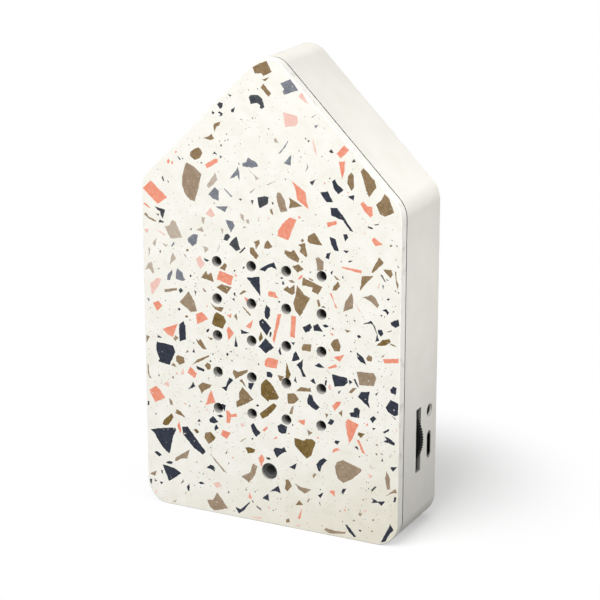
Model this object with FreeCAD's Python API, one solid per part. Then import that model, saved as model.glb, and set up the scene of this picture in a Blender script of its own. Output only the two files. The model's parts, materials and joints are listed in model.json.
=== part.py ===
import FreeCAD, Part
import math
import os

Vector = FreeCAD.Vector

# Birdsong sound box: a house-shaped case with a perforated front panel, a loudspeaker, a motion eye
# and a volume wheel. Millimetres. The origin is the middle of the base, +Z is up, +X is the side with the
# volume wheel, and the front panel faces -Y. A depth is a distance behind the panel's front face.

# Case outline and walls
case_width = 103.0
wall_height = 125.5  # base to eaves, to the sharp corner
roof_pitch = 45.0  # degrees
base_radius = 9.0
eave_radius = 10.0
ridge_radius = 8.0
case_depth = 29.7
wall = 2.0
rear_edge_bevel = 0.9

# Front panel, the adhesive sheet behind it, the sound holes and the cloth
panel_thickness = 4.0
adhesive_thickness = 0.7
adhesive_inset = 1.5
hole_diameter = 3.8
hole_pitch = 14.0
hole_columns = 4
hole_rows = 5
cloth_thickness = 0.3
cloth_margin = 3.0
cloth_gap = 0.5
cloth_corner = 4.5
well_depth = 0.8

# Rear cover and the keyhole that hangs it on a wall
cover_thickness = 2.2
cover_gap = 0.2
hanger_height = 1.6
keyhole_height = 138.0
keyhole_head_radius = 4.2
keyhole_slot_width = 4.4
keyhole_slot_rise = 10.0
keyhole_border = 2.8

# Screws of the rear cover and the bosses that take them
screw_radius = 1.3
screw_gap = 0.05
screw_head_radius = 2.4
screw_head_height = 1.3
screw_reach = 8.0
head_gap = 0.3
boss_radius = 3.0
boss_inset = 6.5
boss_root = 0.5

# Loudspeaker, glued into a collar on the inside of the front wall
speaker_height = 70.0
collar_width = 1.5
collar_height = 2.5
frame_gap = 0.2
frame_radius = 28.5
frame_rim = 3.5
frame_depth = 6.5
frame_floor = 1.2
film_sheet = 0.35
surround_width = 3.0
cone_depth = 3.5
cone_middle_radius = 8.0
cone_panels = 36
coil_radius = 6.5
coil_wall = 0.5
coil_length = 4.6
coil_gap = 0.4
plate_thickness = 1.5
magnet_thickness = 3.0
yoke_radius = 9.2
yoke_wall = 1.4
tag_strip_width = 6.0
tag_strip_height = 2.6
tag_strip_thickness = 1.2
tag_edge = 1.2
tag_width = 1.8
tag_thickness = 0.5
tag_length = 2.0
glue_gap = 0.05

# Volume wheel on its potentiometer
wheel_radius = 15.0
wheel_thickness = 3.4
wheel_height = 35.6
wheel_proud = 1.4
wheel_ridges = 90
ridge_depth = 0.35
slot_side_gap = 0.5
slot_end_gap = 2.7
shaft_radius = 3.0
shaft_flat = 0.5
shaft_in_pot = 3.0
running_gap = 0.05
pot_width = 9.5
pot_length = 11.0
pot_height = 6.5
bush_radius = 3.9
bush_height = 1.6
wheel_standoff = 3.05

# Main board, held at its corners between ledges of the case and ribs of the rear cover
board_thickness = 1.6
board_back_gap = 1.85
board_wall_gap = 2.0
board_boss_gap = 1.5
board_wheel_gap = 1.4
ledge_reach = 3.5
ledge_height = 2.5
press_rib_inset = 3.0
press_rib_width = 2.0
press_rib_height = 8.0

# Chips, capacitors and lead plugs on the main board
sound_chip_place = (2.0, 27.0)
sound_chip_size = (10.3, 7.5)
memory_chip_place = (-14.0, 26.0)
memory_chip_size = (5.3, 5.3)
amplifier_chip_offset = 20.9  # left of the wheel's axis
amplifier_chip_height = 24.0
amplifier_chip_size = (5.0, 4.0)
chip_height = 2.0
capacitor_offsets = (12.4, 4.4)  # left of the wheel's axis
capacitor_place_height = 21.0
capacitor_radius = 3.15
capacitor_height = 5.8
plug_pitch = 1.25
plug_end = 2.0
plug_length = 5.4
header_height = 1.8
plug_height = 2.7
lead_thickness = 1.0
lead_run = 9.0  # the longest part of a lead's run that goes into a bend
speaker_plug_drop = 7.0
battery_plug_drop = 6.0
sensor_plug_rise = 4.0
battery_lead_gap = 5.5

# Charging port
usb_height = 30.9
usb_width = 8.94
usb_thickness = 3.26
usb_sheet = 0.3
usb_length = 7.4
usb_recess = 0.2
usb_block = 1.8
usb_tongue_length = 4.4
usb_tongue_width = 6.7
usb_tongue_thickness = 0.7
usb_end_gap = 0.83
usb_side_gap = 0.17

# Indicator lamp
lamp_height = 44.2
lens_radius = 2.25
lens_gap = 0.05
lens_recess = 0.8
lens_flange = 0.9
pipe_radius = 1.5
led_size = 3.0
led_edge = 0.9
led_gap = 0.4

# Motion eye: bezel, sensor can and its small board
eye_height = 20.7
eye_diameter = 6.2
eye_recess = 0.8
eye_gap = 0.05
eye_bore = 1.45
bezel_flange_radius = 5.2
bezel_flange = 1.0
can_gap = 0.1
can_radius = 4.55
can_height = 4.3
window_size = 3.9
window_recess = 0.35
window_thickness = 0.5
eye_board_width = 22.0
eye_board_height = 13.0
eye_board_thickness = 1.0
eye_board_gap = 0.05
groove_depth = 1.0
groove_wall = 1.4
eye_lead_drop = 4.0

# Battery cell and its cradle
cell_radius = 9.2
cell_length = 65.0
cell_depth = 20.0
cell_gap = 0.2
cell_above_speaker = 2.6
cradle_rib = 2.0
cradle_half_span = 20.0
cradle_height = 21.0
stop_height = 10.0
stop_below_axis = 5.0
pad_width = 8.0
pad_height = 12.0

# Layers by depth, and the places that follow from them
case_front = panel_thickness + adhesive_thickness
inside_front = case_front + wall
case_back = case_front + case_depth
cover_front = case_back - cover_thickness
board_back = cover_front - board_back_gap
board_front = board_back - board_thickness
plug_front = board_front - header_height - plug_height
usb_depth = board_front - usb_thickness / 2
pot_front = board_front - pot_height
wheel_back = pot_front - wheel_standoff
wheel_front = wheel_back - wheel_thickness
eye_board_front = inside_front + bezel_flange + can_gap + can_height
eye_board_back = eye_board_front + eye_board_thickness
frame_front = inside_front + film_sheet
frame_back = frame_front + frame_depth
yoke_front = frame_back - frame_floor
magnet_front = yoke_front + plate_thickness
magnet_back = magnet_front + magnet_thickness
coil_front = inside_front + cone_depth + film_sheet
mouth_radius = frame_radius - frame_rim
cone_radius = mouth_radius - surround_width
collar_bore = frame_radius + frame_gap
collar_radius = collar_bore + collar_width
half_width = case_width / 2
inside_half = half_width - wall
wheel_across = half_width + wheel_proud - wheel_radius
board_half = inside_half - board_wall_gap
board_bottom = boss_inset + boss_radius + board_boss_gap
board_top = wheel_height + wheel_radius + board_wheel_gap
cell_height = speaker_height + collar_radius + cell_above_speaker + cell_radius
tag_height = speaker_height - frame_radius + tag_edge + tag_strip_height / 2
speaker_axis = (0, speaker_height)
wheel_axis = (wheel_across, wheel_height)
eye_axis = (0, eye_height)
speaker_plug_place = (0, board_top - speaker_plug_drop)
battery_plug_place = (-cell_length / 2 - battery_lead_gap, board_top - battery_plug_drop)
sensor_plug_place = (0, board_bottom + sensor_plug_rise)
through = 1.0  # how far a cut runs past the faces that it goes through


def at(across, depth, height):
    """A point from its place across, its depth behind the panel's face and its height."""
    return Vector(across, depth - case_back / 2, height)


def house(inset):
    """Corners and radii of the house outline, moved inwards by inset."""
    pitch = math.radians(roof_pitch)
    half = half_width - inset
    ridge = wall_height + half_width * math.tan(pitch) - inset / math.cos(pitch)
    eave = ridge - half * math.tan(pitch)
    corners = [(-half, inset), (half, inset), (half, eave), (0, ridge), (-half, eave)]
    radii = [base_radius, base_radius, eave_radius, ridge_radius, eave_radius]
    return corners, [radius - inset for radius in radii]


def rectangle(size, middle, radius):
    """Corners and radii of an upright rectangle about an (across, height) middle."""
    signs = ((-1, -1), (1, -1), (1, 1), (-1, 1))
    corners = [(middle[0] + x * size[0] / 2, middle[1] + z * size[1] / 2) for x, z in signs]
    return corners, [radius] * len(corners)


def rounded_wire(outline, depth):
    """A closed wire at that depth through the outline's corners, each one rounded."""
    corners, radii = outline
    arcs, ends = [], []
    for i, corner in enumerate(corners):
        here = at(corner[0], depth, corner[1])
        before, after = corners[i - 1], corners[(i + 1) % len(corners)]
        back = (at(before[0], depth, before[1]) - here).normalize()
        ahead = (at(after[0], depth, after[1]) - here).normalize()
        half_angle = back.getAngle(ahead) / 2
        reach = radii[i] / math.tan(half_angle)
        middle = here + (back + ahead).normalize() * (radii[i] / math.sin(half_angle) - radii[i])
        start, end = here + back * reach, here + ahead * reach
        arcs.append(Part.Arc(start, middle, end).toShape())
        ends.append((start, end))
    lines = [Part.makeLine(ends[i - 1][1], ends[i][0]) for i in range(len(ends))]
    return Part.Wire([edge for pair in zip(lines, arcs) for edge in pair])


def prism(outline, front, back):
    """A solid with that outline across and up, between two depths."""
    return Part.Face(rounded_wire(outline, front)).extrude(Vector(0, back - front, 0))


def block(across, depth, height):
    """A box from three (low, high) pairs."""
    sizes = [high - low for low, high in (across, depth, height)]
    return Part.makeBox(*sizes, at(across[0], depth[0], height[0]))


def about(middle, size):
    """The (low, high) pair of that size about its middle."""
    return (middle - size / 2, middle + size / 2)


def rod(radius, front, back, middle):
    """A round bar between two depths, about an (across, height) middle."""
    return Part.makeCylinder(radius, back - front, at(middle[0], front, middle[1]), Vector(0, 1, 0))


def ring(outer, inner, front, back, middle):
    """A flat ring between two depths."""
    return rod(outer, front, back, middle).cut(rod(inner, front - through, back + through, middle))


def bar_across(radius, left, right, depth, height):
    """A round bar from left to right."""
    return Part.makeCylinder(radius, right - left, at(left, depth, height), Vector(1, 0, 0))


def obround_across(length, thickness, left, right, depth, height):
    """A bar from left to right with a stadium section, its length upright."""
    half = thickness / 2
    low, high = about(height, length - thickness)
    outline = [(-half, low), (0, low - half), (half, low), (half, high), (0, high + half), (-half, high)]
    a, b, c, d, e, f = [at(left, depth + y, z) for y, z in outline]
    edges = [
        Part.Arc(a, b, c).toShape(),
        Part.makeLine(c, d),
        Part.Arc(d, e, f).toShape(),
        Part.makeLine(f, a),
    ]
    return Part.Face(Part.Wire(edges)).extrude(Vector(right - left, 0, 0))


def ribbon(points, wide, count):
    """A flat lead of that many wires along points, wide along a unit vector, with an arc at each corner."""
    edges = []
    last = points[0]
    for before, here, after in zip(points, points[1:], points[2:]):
        back, ahead = before - here, after - here
        reach = 0.45 * min(back.Length, ahead.Length, lead_run)
        back.normalize()
        ahead.normalize()
        half_angle = back.getAngle(ahead) / 2
        bend = reach * math.tan(half_angle)
        middle = here + (back + ahead).normalize() * (bend / math.sin(half_angle) - bend)
        start, end = here + back * reach, here + ahead * reach
        edges.append(Part.makeLine(last, start))
        edges.append(Part.Arc(start, middle, end).toShape())
        last = end
    edges.append(Part.makeLine(last, points[-1]))
    side = wide * (((count - 1) * plug_pitch + lead_thickness) / 2)
    edge = (points[1] - points[0]).normalize().cross(wide) * (lead_thickness / 2)
    corners = [points[0] + side * a + edge * b for a, b in ((-1, -1), (1, -1), (1, 1), (-1, 1))]
    section = Part.makePolygon(corners + corners[:1])
    return Part.Wire(edges).makePipeShell([section], True, False)


def edges_at(shape, depth):
    """The edges of shape that lie wholly at that depth."""
    y = at(0, depth, 0).y
    return [e for e in shape.Edges if max(abs(e.BoundBox.YMin - y), abs(e.BoundBox.YMax - y)) < 1e-4]


def cut_all(shape, tools):
    """The shape less every one of the tools."""
    return shape.cut(list(tools))


def sound_hole_places():
    """(across, height) of each sound hole, in rows about the loudspeaker's axis."""
    places = []
    for row in range(hole_rows):
        for column in range(hole_columns):
            across = (column - (hole_columns - 1) / 2) * hole_pitch
            places.append((across, speaker_height + (row - (hole_rows - 1) / 2) * hole_pitch))
    return places


def field_size(margin):
    """Width and height of the field of sound holes, with a margin all round."""
    counts = (hole_columns, hole_rows)
    return [(count - 1) * hole_pitch + hole_diameter + 2 * margin for count in counts]


def cover_screw_places():
    """(across, height) of the rear cover's screws: two at the base and one at the ridge."""
    corners = house(boss_inset)[0]
    return [corners[0], corners[1], corners[3]]


def front_panel():
    plate = prism(house(0), 0, panel_thickness)
    ends = (-through, panel_thickness + through)
    holes = [rod(hole_diameter / 2, *ends, place) for place in sound_hole_places()]
    return cut_all(plate, holes + [rod(eye_diameter / 2, *ends, eye_axis)])


def sound_well(front, back):
    """The opening round the cloth, in the adhesive sheet and in the front of the case."""
    size = field_size(cloth_margin + cloth_gap)
    return prism(rectangle(size, speaker_axis, cloth_corner + cloth_gap), front, back)


def panel_adhesive():
    sheet = prism(house(adhesive_inset), panel_thickness, case_front)
    ends = (panel_thickness - through, case_front + through)
    return cut_all(sheet, [sound_well(*ends), rod(bezel_flange_radius, *ends, eye_axis)])


def grille_cloth():
    outline = rectangle(field_size(cloth_margin), speaker_axis, cloth_corner)
    return prism(outline, panel_thickness, panel_thickness + cloth_thickness)


def case_bosses():
    """Screw bosses and the loudspeaker's collar, which stand on the inside of the front wall."""
    root = inside_front - boss_root
    bosses = [rod(boss_radius, root, cover_front, place) for place in cover_screw_places()]
    return bosses + [ring(collar_radius, collar_bore, root, inside_front + collar_height, speaker_axis)]


def board_ledges():
    """A ledge in each corner of the main board, along the side walls."""
    ledges = []
    for side in (-1, 1):
        across = sorted((side * (inside_half - ledge_reach), side * (inside_half + boss_root)))
        for low in (board_bottom, board_top - ledge_height):
            ledges.append(block(across, (inside_front - boss_root, board_front), (low, low + ledge_height)))
    return ledges


def eye_ribs():
    """Two grooved ribs that the motion eye's board slides down into."""
    edge = eye_board_width / 2
    depth = (inside_front - boss_root, eye_board_back + eye_board_gap + groove_wall)
    groove = block(
        about(0, eye_board_width + 2 * eye_board_gap),
        (eye_board_front, eye_board_back + eye_board_gap),
        about(eye_height, eye_board_height + through),
    )
    ribs = []
    for side in (-1, 1):
        across = sorted((side * (edge - groove_depth), side * (edge + groove_wall)))
        ribs.append(block(across, depth, about(eye_height, eye_board_height)).cut(groove))
    return ribs


def cradle_ribs():
    """Two saddle ribs under the battery cell, and a stop at each of its ends."""
    root = inside_front - boss_root
    saddle = bar_across(cell_radius + cell_gap, -half_width, half_width, cell_depth, cell_height)
    ribs = []
    for side in (-1, 1):
        across = about(side * cradle_half_span, cradle_rib)
        ribs.append(block(across, (root, cell_depth), about(cell_height, cradle_height)).cut(saddle))
        across = about(side * (cell_length / 2 + cell_gap + cradle_rib / 2), cradle_rib)
        ribs.append(block(across, (root, cell_depth - stop_below_axis), about(cell_height, stop_height)))
    return ribs


def wheel_slot():
    """The opening in the right wall that the volume wheel stands out of."""
    inside = wheel_radius - wheel_proud - wall
    half_length = math.sqrt(wheel_radius**2 - inside**2) + slot_end_gap
    return block(
        (half_width - 2 * wall, half_width + wall),
        (wheel_front - slot_side_gap, wheel_back + slot_side_gap),
        about(wheel_height, 2 * half_length),
    )


def port_openings():
    """The right wall's openings for the charging port and the lamp."""
    ends = (half_width - 2 * wall, half_width + wall)
    port_size = (usb_width + 2 * usb_end_gap, usb_thickness + 2 * usb_side_gap)
    port = obround_across(*port_size, *ends, usb_depth, usb_height)
    return [port, bar_across(lens_radius + lens_gap, *ends, usb_depth, lamp_height)]


def housing():
    shell = prism(house(0), case_front, case_back)
    shell = shell.makeChamfer(rear_edge_bevel, edges_at(shell, case_back))
    shell = shell.cut(prism(house(wall), inside_front, case_back + through))
    inside = case_bosses() + board_ledges() + eye_ribs() + cradle_ribs()
    shell = shell.fuse(inside).removeSplitter()
    ends = (case_front - through, inside_front + through)
    bore = screw_radius + screw_gap
    bores = [rod(bore, cover_front - screw_reach, cover_front + through, p) for p in cover_screw_places()]
    openings = [
        sound_well(case_front - through, case_front + well_depth),
        rod(mouth_radius, *ends, speaker_axis),
        rod(eye_diameter / 2 + eye_gap, *ends, eye_axis),
        wheel_slot(),
    ]
    return cut_all(shell, bores + openings + port_openings())


def keyhole():
    """The hanger: a round entry for a screw's head, and a slot that rises from it."""
    top = keyhole_height + keyhole_slot_rise
    ends = (cover_front - hanger_height - through, case_back + through)
    entry = rod(keyhole_head_radius, *ends, (0, keyhole_height))
    slot = block(about(0, keyhole_slot_width), ends, (keyhole_height, top))
    return entry.fuse([slot, rod(keyhole_slot_width / 2, *ends, (0, top))])


def press_ribs():
    """Short ribs of the rear cover that hold the main board on its ledges."""
    ribs = []
    for side in (-1, 1):
        across = about(side * (board_half - press_rib_inset), press_rib_width)
        for low in (board_bottom, board_top - press_rib_height):
            ribs.append(block(across, (board_back, cover_front), (low, low + press_rib_height)))
    return ribs


def rear_cover():
    plate = prism(house(wall + cover_gap), cover_front, case_back)
    hanger_width = 2 * (keyhole_head_radius + keyhole_border)
    hanger_middle = (0, keyhole_height + keyhole_slot_rise / 2)
    hanger_size = (hanger_width, hanger_width + keyhole_slot_rise)
    hanger = prism(
        rectangle(hanger_size, hanger_middle, keyhole_head_radius), cover_front - hanger_height, cover_front
    )
    plate = plate.fuse(press_ribs() + [hanger]).removeSplitter()
    holes = [keyhole()]
    for place in cover_screw_places():
        holes.append(rod(screw_radius + head_gap, cover_front - through, case_back, place))
        seat = case_back - screw_head_height
        holes.append(rod(screw_head_radius + head_gap, seat, case_back + through, place))
    return cut_all(plate, holes)


def cover_screw():
    """A pan-head screw at each place, put in from the back."""
    seat = case_back - screw_head_height
    screws = []
    for place in cover_screw_places():
        stem = rod(screw_radius, seat - screw_reach, seat, place)
        screws.append(stem.fuse(rod(screw_head_radius, seat, case_back, place)))
    return screws


def speaker_frame():
    """A moulded cup whose floor carries the magnet's yoke."""
    cup = rod(frame_radius, frame_front, frame_back, speaker_axis)
    hollow = rod(mouth_radius, frame_front - through, yoke_front, speaker_axis)
    return cup.cut([hollow, rod(yoke_radius + glue_gap, frame_front, frame_back + through, speaker_axis)])


def speaker_surround():
    """A flat ring of soft film from the frame's rim to the cone's edge."""
    return ring(frame_radius, cone_radius, inside_front, frame_front, speaker_axis)


def speaker_cone():
    """A shallow cone pressed from film in flat panels, with a flat middle that carries the coil."""
    edge = cone_radius - glue_gap
    middle = inside_front + cone_depth
    line = [(edge, inside_front), (cone_middle_radius, middle)]
    line += [(radius, depth + film_sheet) for radius, depth in reversed(line)]
    loops = []
    for radius, depth in line:
        turns = [2 * math.pi * i / cone_panels for i in range(cone_panels)]
        loops.append([at(radius * math.cos(t), depth, speaker_height + radius * math.sin(t)) for t in turns])
    faces = [Part.Face(Part.makePolygon(loop + loop[:1])) for loop in loops[1:3]]
    for one, two in ((loops[0], loops[1]), (loops[2], loops[3]), (loops[3], loops[0])):
        for i in range(cone_panels):
            corners = [one[i - 1], one[i], two[i], two[i - 1]]
            faces.append(Part.Face(Part.makePolygon(corners + corners[:1])))
    return Part.Solid(Part.Shell(faces))


def voice_coil():
    return ring(coil_radius + coil_wall, coil_radius, coil_front, coil_front + coil_length, speaker_axis)


def speaker_plate():
    return rod(coil_radius - coil_gap, yoke_front, magnet_front, speaker_axis)


def speaker_magnet():
    return rod(coil_radius - coil_gap, magnet_front, magnet_back, speaker_axis)


def speaker_yoke():
    """A steel cup round the magnet, which leaves a gap for the coil."""
    cup = rod(yoke_radius, yoke_front, magnet_back + yoke_wall, speaker_axis)
    return cup.cut(rod(yoke_radius - yoke_wall, yoke_front - through, magnet_back, speaker_axis))


def speaker_tags():
    """A strip on the back of the frame with two solder tags that stand on it."""
    top = frame_back + tag_strip_thickness
    strip = block(about(0, tag_strip_width), (frame_back, top), about(tag_height, tag_strip_height))
    tags = []
    for side in (-1, 1):
        across = about(side * plug_pitch / 2, tag_thickness)
        tags.append(block(across, (top, top + tag_length), about(tag_height, tag_width)))
    return strip.fuse(tags).removeSplitter()


def shaft_bar(radius, front, back):
    """The shaft's round bar with its flat, grown by the same amount all round for the wheel's bore."""
    flat = shaft_radius - shaft_flat + (radius - shaft_radius)
    top = wheel_height + flat
    waste = block(about(wheel_across, 4 * radius), (front - through, back + through), (top, top + 2 * radius))
    return rod(radius, front, back, wheel_axis).cut(waste)


def volume_wheel():
    """A disc with fine ridges all round, pushed on the shaft."""
    middle = at(wheel_across, wheel_front, wheel_height)
    points = []
    for i in range(2 * wheel_ridges):
        turn = math.pi * i / wheel_ridges
        radius = wheel_radius - ridge_depth * (i % 2)
        points.append(middle + Vector(math.cos(turn), 0, math.sin(turn)) * radius)
    disc = Part.Face(Part.makePolygon(points + points[:1])).extrude(Vector(0, wheel_thickness, 0))
    return disc.cut(shaft_bar(shaft_radius + glue_gap, wheel_front - through, wheel_back + through))


def volume_shaft():
    bar = shaft_bar(shaft_radius, wheel_front, wheel_back)
    stem = rod(shaft_radius, wheel_back, pot_front + shaft_in_pot, wheel_axis)
    return bar.fuse(stem).removeSplitter()


def volume_pot():
    across, height = about(wheel_across, pot_width), about(wheel_height, pot_length)
    body = block(across, (pot_front, board_front), height)
    body = body.fuse(rod(bush_radius, pot_front - bush_height, pot_front, wheel_axis)).removeSplitter()
    bore_back = pot_front + shaft_in_pot + running_gap
    return body.cut(rod(shaft_radius + running_gap, pot_front - bush_height - through, bore_back, wheel_axis))


def main_board():
    return block((-board_half, board_half), (board_front, board_back), (board_bottom, board_top))


def chip(middle, size):
    """A moulded chip with its contacts underneath, flat on the main board."""
    return block(
        about(middle[0], size[0]), (board_front - chip_height, board_front), about(middle[1], size[1])
    )


def sound_chip():
    return chip(sound_chip_place, sound_chip_size)


def memory_chip():
    return chip(memory_chip_place, memory_chip_size)


def amplifier_chip():
    return chip((wheel_across - amplifier_chip_offset, amplifier_chip_height), amplifier_chip_size)


def capacitor():
    """Canned capacitors in a row beside the potentiometer."""
    places = [(wheel_across - offset, capacitor_place_height) for offset in capacitor_offsets]
    return [rod(capacitor_radius, board_front - capacitor_height, board_front, place) for place in places]


def plug_blocks(front, back):
    """A block between two depths for the plug of each lead: loudspeaker, battery and motion eye."""
    places = ((speaker_plug_place, 2), (battery_plug_place, 2), (sensor_plug_place, 3))
    blocks = []
    for place, count in places:
        across = about(place[0], count * plug_pitch + plug_end)
        blocks.append(block(across, (front, back), about(place[1], plug_length)))
    return blocks


def lead_header():
    return plug_blocks(board_front - header_height, board_front)


def lead_plug():
    return plug_blocks(plug_front, board_front - header_height)


def stepped_lead(front, start_height, plug_place, count):
    """A lead from solder points at depth front back to a plug, with a step in height between."""
    run = plug_front - front
    x = plug_place[0]
    route = [
        (x, front, start_height),
        (x, front + run / 3, start_height),
        (x, plug_front - run / 3, plug_place[1]),
        (x, plug_front, plug_place[1]),
    ]
    return ribbon([at(*point) for point in route], Vector(1, 0, 0), count)


def speaker_leads():
    return stepped_lead(frame_back + tag_strip_thickness + tag_length, tag_height, speaker_plug_place, 2)


def sensor_leads():
    return stepped_lead(eye_board_back, eye_height - eye_lead_drop, sensor_plug_place, 3)


def battery_leads():
    """A lead from the cell's left end, down beside the loudspeaker into the top of its plug."""
    x, z = battery_plug_place
    depth = plug_front + plug_height / 2
    route = [(-cell_length / 2, depth, cell_height), (x, depth, cell_height), (x, depth, z + plug_length / 2)]
    return ribbon([at(*point) for point in route], Vector(0, 1, 0), 2)


def usb_left():
    """Where the charging port's shell ends inside the case."""
    return half_width - usb_recess - usb_length


def usb_bore(gap, left, right):
    """The space inside the port's shell, less a gap all round."""
    shrink = 2 * (usb_sheet + gap)
    return obround_across(usb_width - shrink, usb_thickness - shrink, left, right, usb_depth, usb_height)


def usb_shell():
    left, right = usb_left(), usb_left() + usb_length
    tube = obround_across(usb_width, usb_thickness, left, right, usb_depth, usb_height)
    return tube.cut(usb_bore(0, left + usb_sheet, right + through))


def usb_tongue():
    left = usb_left() + usb_sheet
    right = left + usb_block
    plate = block(
        (right, right + usb_tongue_length),
        about(usb_depth, usb_tongue_thickness),
        about(usb_height, usb_tongue_width),
    )
    return usb_bore(glue_gap, left, right).fuse(plate).removeSplitter()


def led_right():
    """The lamp's front face, just inside the board's edge."""
    return board_half - led_edge


def indicator_led():
    depth = (usb_depth - led_size / 2, board_front)
    return block((led_right() - led_size, led_right()), depth, about(lamp_height, led_size))


def indicator_lens():
    """A dark window set in the right wall, with a flange and a light pipe behind it."""
    flange_left = inside_half - lens_flange
    window = bar_across(lens_radius, flange_left, half_width - lens_recess, usb_depth, lamp_height)
    flange = bar_across(lens_radius + lens_flange, flange_left, inside_half, usb_depth, lamp_height)
    pipe = bar_across(pipe_radius, led_right() + led_gap, flange_left, usb_depth, lamp_height)
    return window.fuse([flange, pipe]).removeSplitter()


def sensor_bezel():
    """A ring set back in the panel and flanged behind the front wall."""
    flange_back = inside_front + bezel_flange
    tube = rod(eye_diameter / 2 - eye_gap, eye_recess, flange_back, eye_axis)
    tube = tube.fuse(rod(bezel_flange_radius, inside_front, flange_back, eye_axis)).removeSplitter()
    return tube.cut(rod(eye_bore, eye_recess - through, flange_back + through, eye_axis))


def window_room(gap, front, back):
    """The square room for the sensor's window, larger by a gap all round."""
    size = window_size + 2 * gap
    return block(about(0, size), (front, back), about(eye_height, size))


def sensor_can():
    front = eye_board_front - can_height
    can = rod(can_radius, front, eye_board_front, eye_axis)
    return can.cut(window_room(glue_gap, front - through, front + window_recess + window_thickness))


def sensor_window():
    front = eye_board_front - can_height + window_recess
    return window_room(0, front, front + window_thickness)


def sensor_board():
    ends = (eye_board_front, eye_board_back)
    return block(about(0, eye_board_width), ends, about(eye_height, eye_board_height))


def battery_cell():
    return bar_across(cell_radius, -cell_length / 2, cell_length / 2, cell_depth, cell_height)


def battery_pad():
    """A foam pad between the cell and the rear cover, over each saddle rib."""
    depth = (cell_depth + cell_radius + glue_gap, cover_front)
    height = about(cell_height, pad_height)
    return [block(about(side * cradle_half_span, pad_width), depth, height) for side in (-1, 1)]


PIECES = [
    front_panel,
    panel_adhesive,
    grille_cloth,
    housing,
    rear_cover,
    cover_screw,
    speaker_frame,
    speaker_surround,
    speaker_cone,
    voice_coil,
    speaker_plate,
    speaker_magnet,
    speaker_yoke,
    speaker_tags,
    volume_wheel,
    volume_shaft,
    volume_pot,
    main_board,
    sound_chip,
    memory_chip,
    amplifier_chip,
    capacitor,
    lead_header,
    lead_plug,
    speaker_leads,
    battery_leads,
    sensor_leads,
    usb_shell,
    usb_tongue,
    indicator_led,
    indicator_lens,
    sensor_bezel,
    sensor_can,
    sensor_window,
    sensor_board,
    battery_cell,
    battery_pad,
]


# Each piece goes to a file of its own name, and like pieces are numbered
os.makedirs("parts", exist_ok=True)
for piece in PIECES:
    made = piece()
    several = isinstance(made, list)
    for number, solid in enumerate(made if several else [made], start=1):
        name = piece.__name__ + ("_" + str(number) if several else "")
        solid.exportStep("parts/" + name + ".step")
        print(name, len(solid.Solids), solid.isValid(), round(solid.Volume, 2))
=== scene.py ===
# %% [markdown]
# # Birdsong sound box
# The box stands on its base: a printed panel in front, a moulded case behind it, and a volume wheel, a
# lamp and a charging port in the right wall. The construction model is loaded first as a fixed frame in
# metres, so every piece that is made here goes where that model says.

# %% Load the frame
import bpy
import bmesh
import json
import math
import random
from mathutils import Matrix, Vector
from mathutils.geometry import delaunay_2d_cdt


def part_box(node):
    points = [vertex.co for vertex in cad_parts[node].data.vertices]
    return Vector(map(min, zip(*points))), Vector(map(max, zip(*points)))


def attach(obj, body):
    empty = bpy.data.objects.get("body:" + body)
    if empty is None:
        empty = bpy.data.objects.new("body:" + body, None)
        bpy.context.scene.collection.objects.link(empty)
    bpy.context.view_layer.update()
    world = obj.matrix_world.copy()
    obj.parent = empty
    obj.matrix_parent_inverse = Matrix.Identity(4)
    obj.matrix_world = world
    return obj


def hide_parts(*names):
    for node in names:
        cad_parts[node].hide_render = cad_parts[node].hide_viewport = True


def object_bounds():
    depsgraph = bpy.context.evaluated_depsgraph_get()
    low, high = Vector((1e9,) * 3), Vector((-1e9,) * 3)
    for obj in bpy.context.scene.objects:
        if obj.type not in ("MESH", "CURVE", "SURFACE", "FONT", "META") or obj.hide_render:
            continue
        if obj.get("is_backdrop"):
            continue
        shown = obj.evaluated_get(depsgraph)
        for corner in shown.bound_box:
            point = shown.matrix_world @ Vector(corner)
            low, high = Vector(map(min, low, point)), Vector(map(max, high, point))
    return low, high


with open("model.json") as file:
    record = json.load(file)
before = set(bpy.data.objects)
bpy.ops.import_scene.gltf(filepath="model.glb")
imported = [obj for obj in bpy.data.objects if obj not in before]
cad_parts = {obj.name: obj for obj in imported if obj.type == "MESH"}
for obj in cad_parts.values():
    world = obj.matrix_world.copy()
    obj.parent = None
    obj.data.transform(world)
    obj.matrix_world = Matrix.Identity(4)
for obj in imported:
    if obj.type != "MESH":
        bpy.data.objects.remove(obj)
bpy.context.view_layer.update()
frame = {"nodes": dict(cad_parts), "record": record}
mm = 0.001

# %% [markdown]
# ## Camera
# The photograph was taken from the right and a little above, from far away with a long lens. A camera is
# an object with a lens; its place is worked out from a target on the box, a turn round it, a height angle
# and a distance, because those four are easy to compare with what the eye sees.

# %% Put the camera at the photograph's view
target = Vector((3.91, 0.0, 82.1)) * mm
azimuth, elevation = math.radians(26.5), math.radians(17.29)
distance = 787.9 * mm
towards = Vector((math.sin(azimuth) * math.cos(elevation),
                  -math.cos(azimuth) * math.cos(elevation),
                  math.sin(elevation)))

camera = bpy.data.objects.new("camera", bpy.data.cameras.new("camera"))
camera.data.lens = 130
camera.data.sensor_width = 36
camera.data.clip_start, camera.data.clip_end = 0.05, 50
camera.location = target + towards * distance
camera.rotation_euler = (-towards).to_track_quat("-Z", "Y").to_euler()
bpy.context.scene.collection.objects.link(camera)
bpy.context.scene.camera = camera
print("camera at", [round(value, 3) for value in camera.location])

# %% [markdown]
# ## Colour and nodes
# Colours are written as sRGB hex values, as in a paint program, but the shader works in linear light, so
# one function converts them. A second small function adds a node: it sets the node's own settings, and
# then each input gets either a plain value or a link from another node's output. Patterns have a real
# size in millimetres, and a texture's scale is how many of them fit in a metre.

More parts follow.
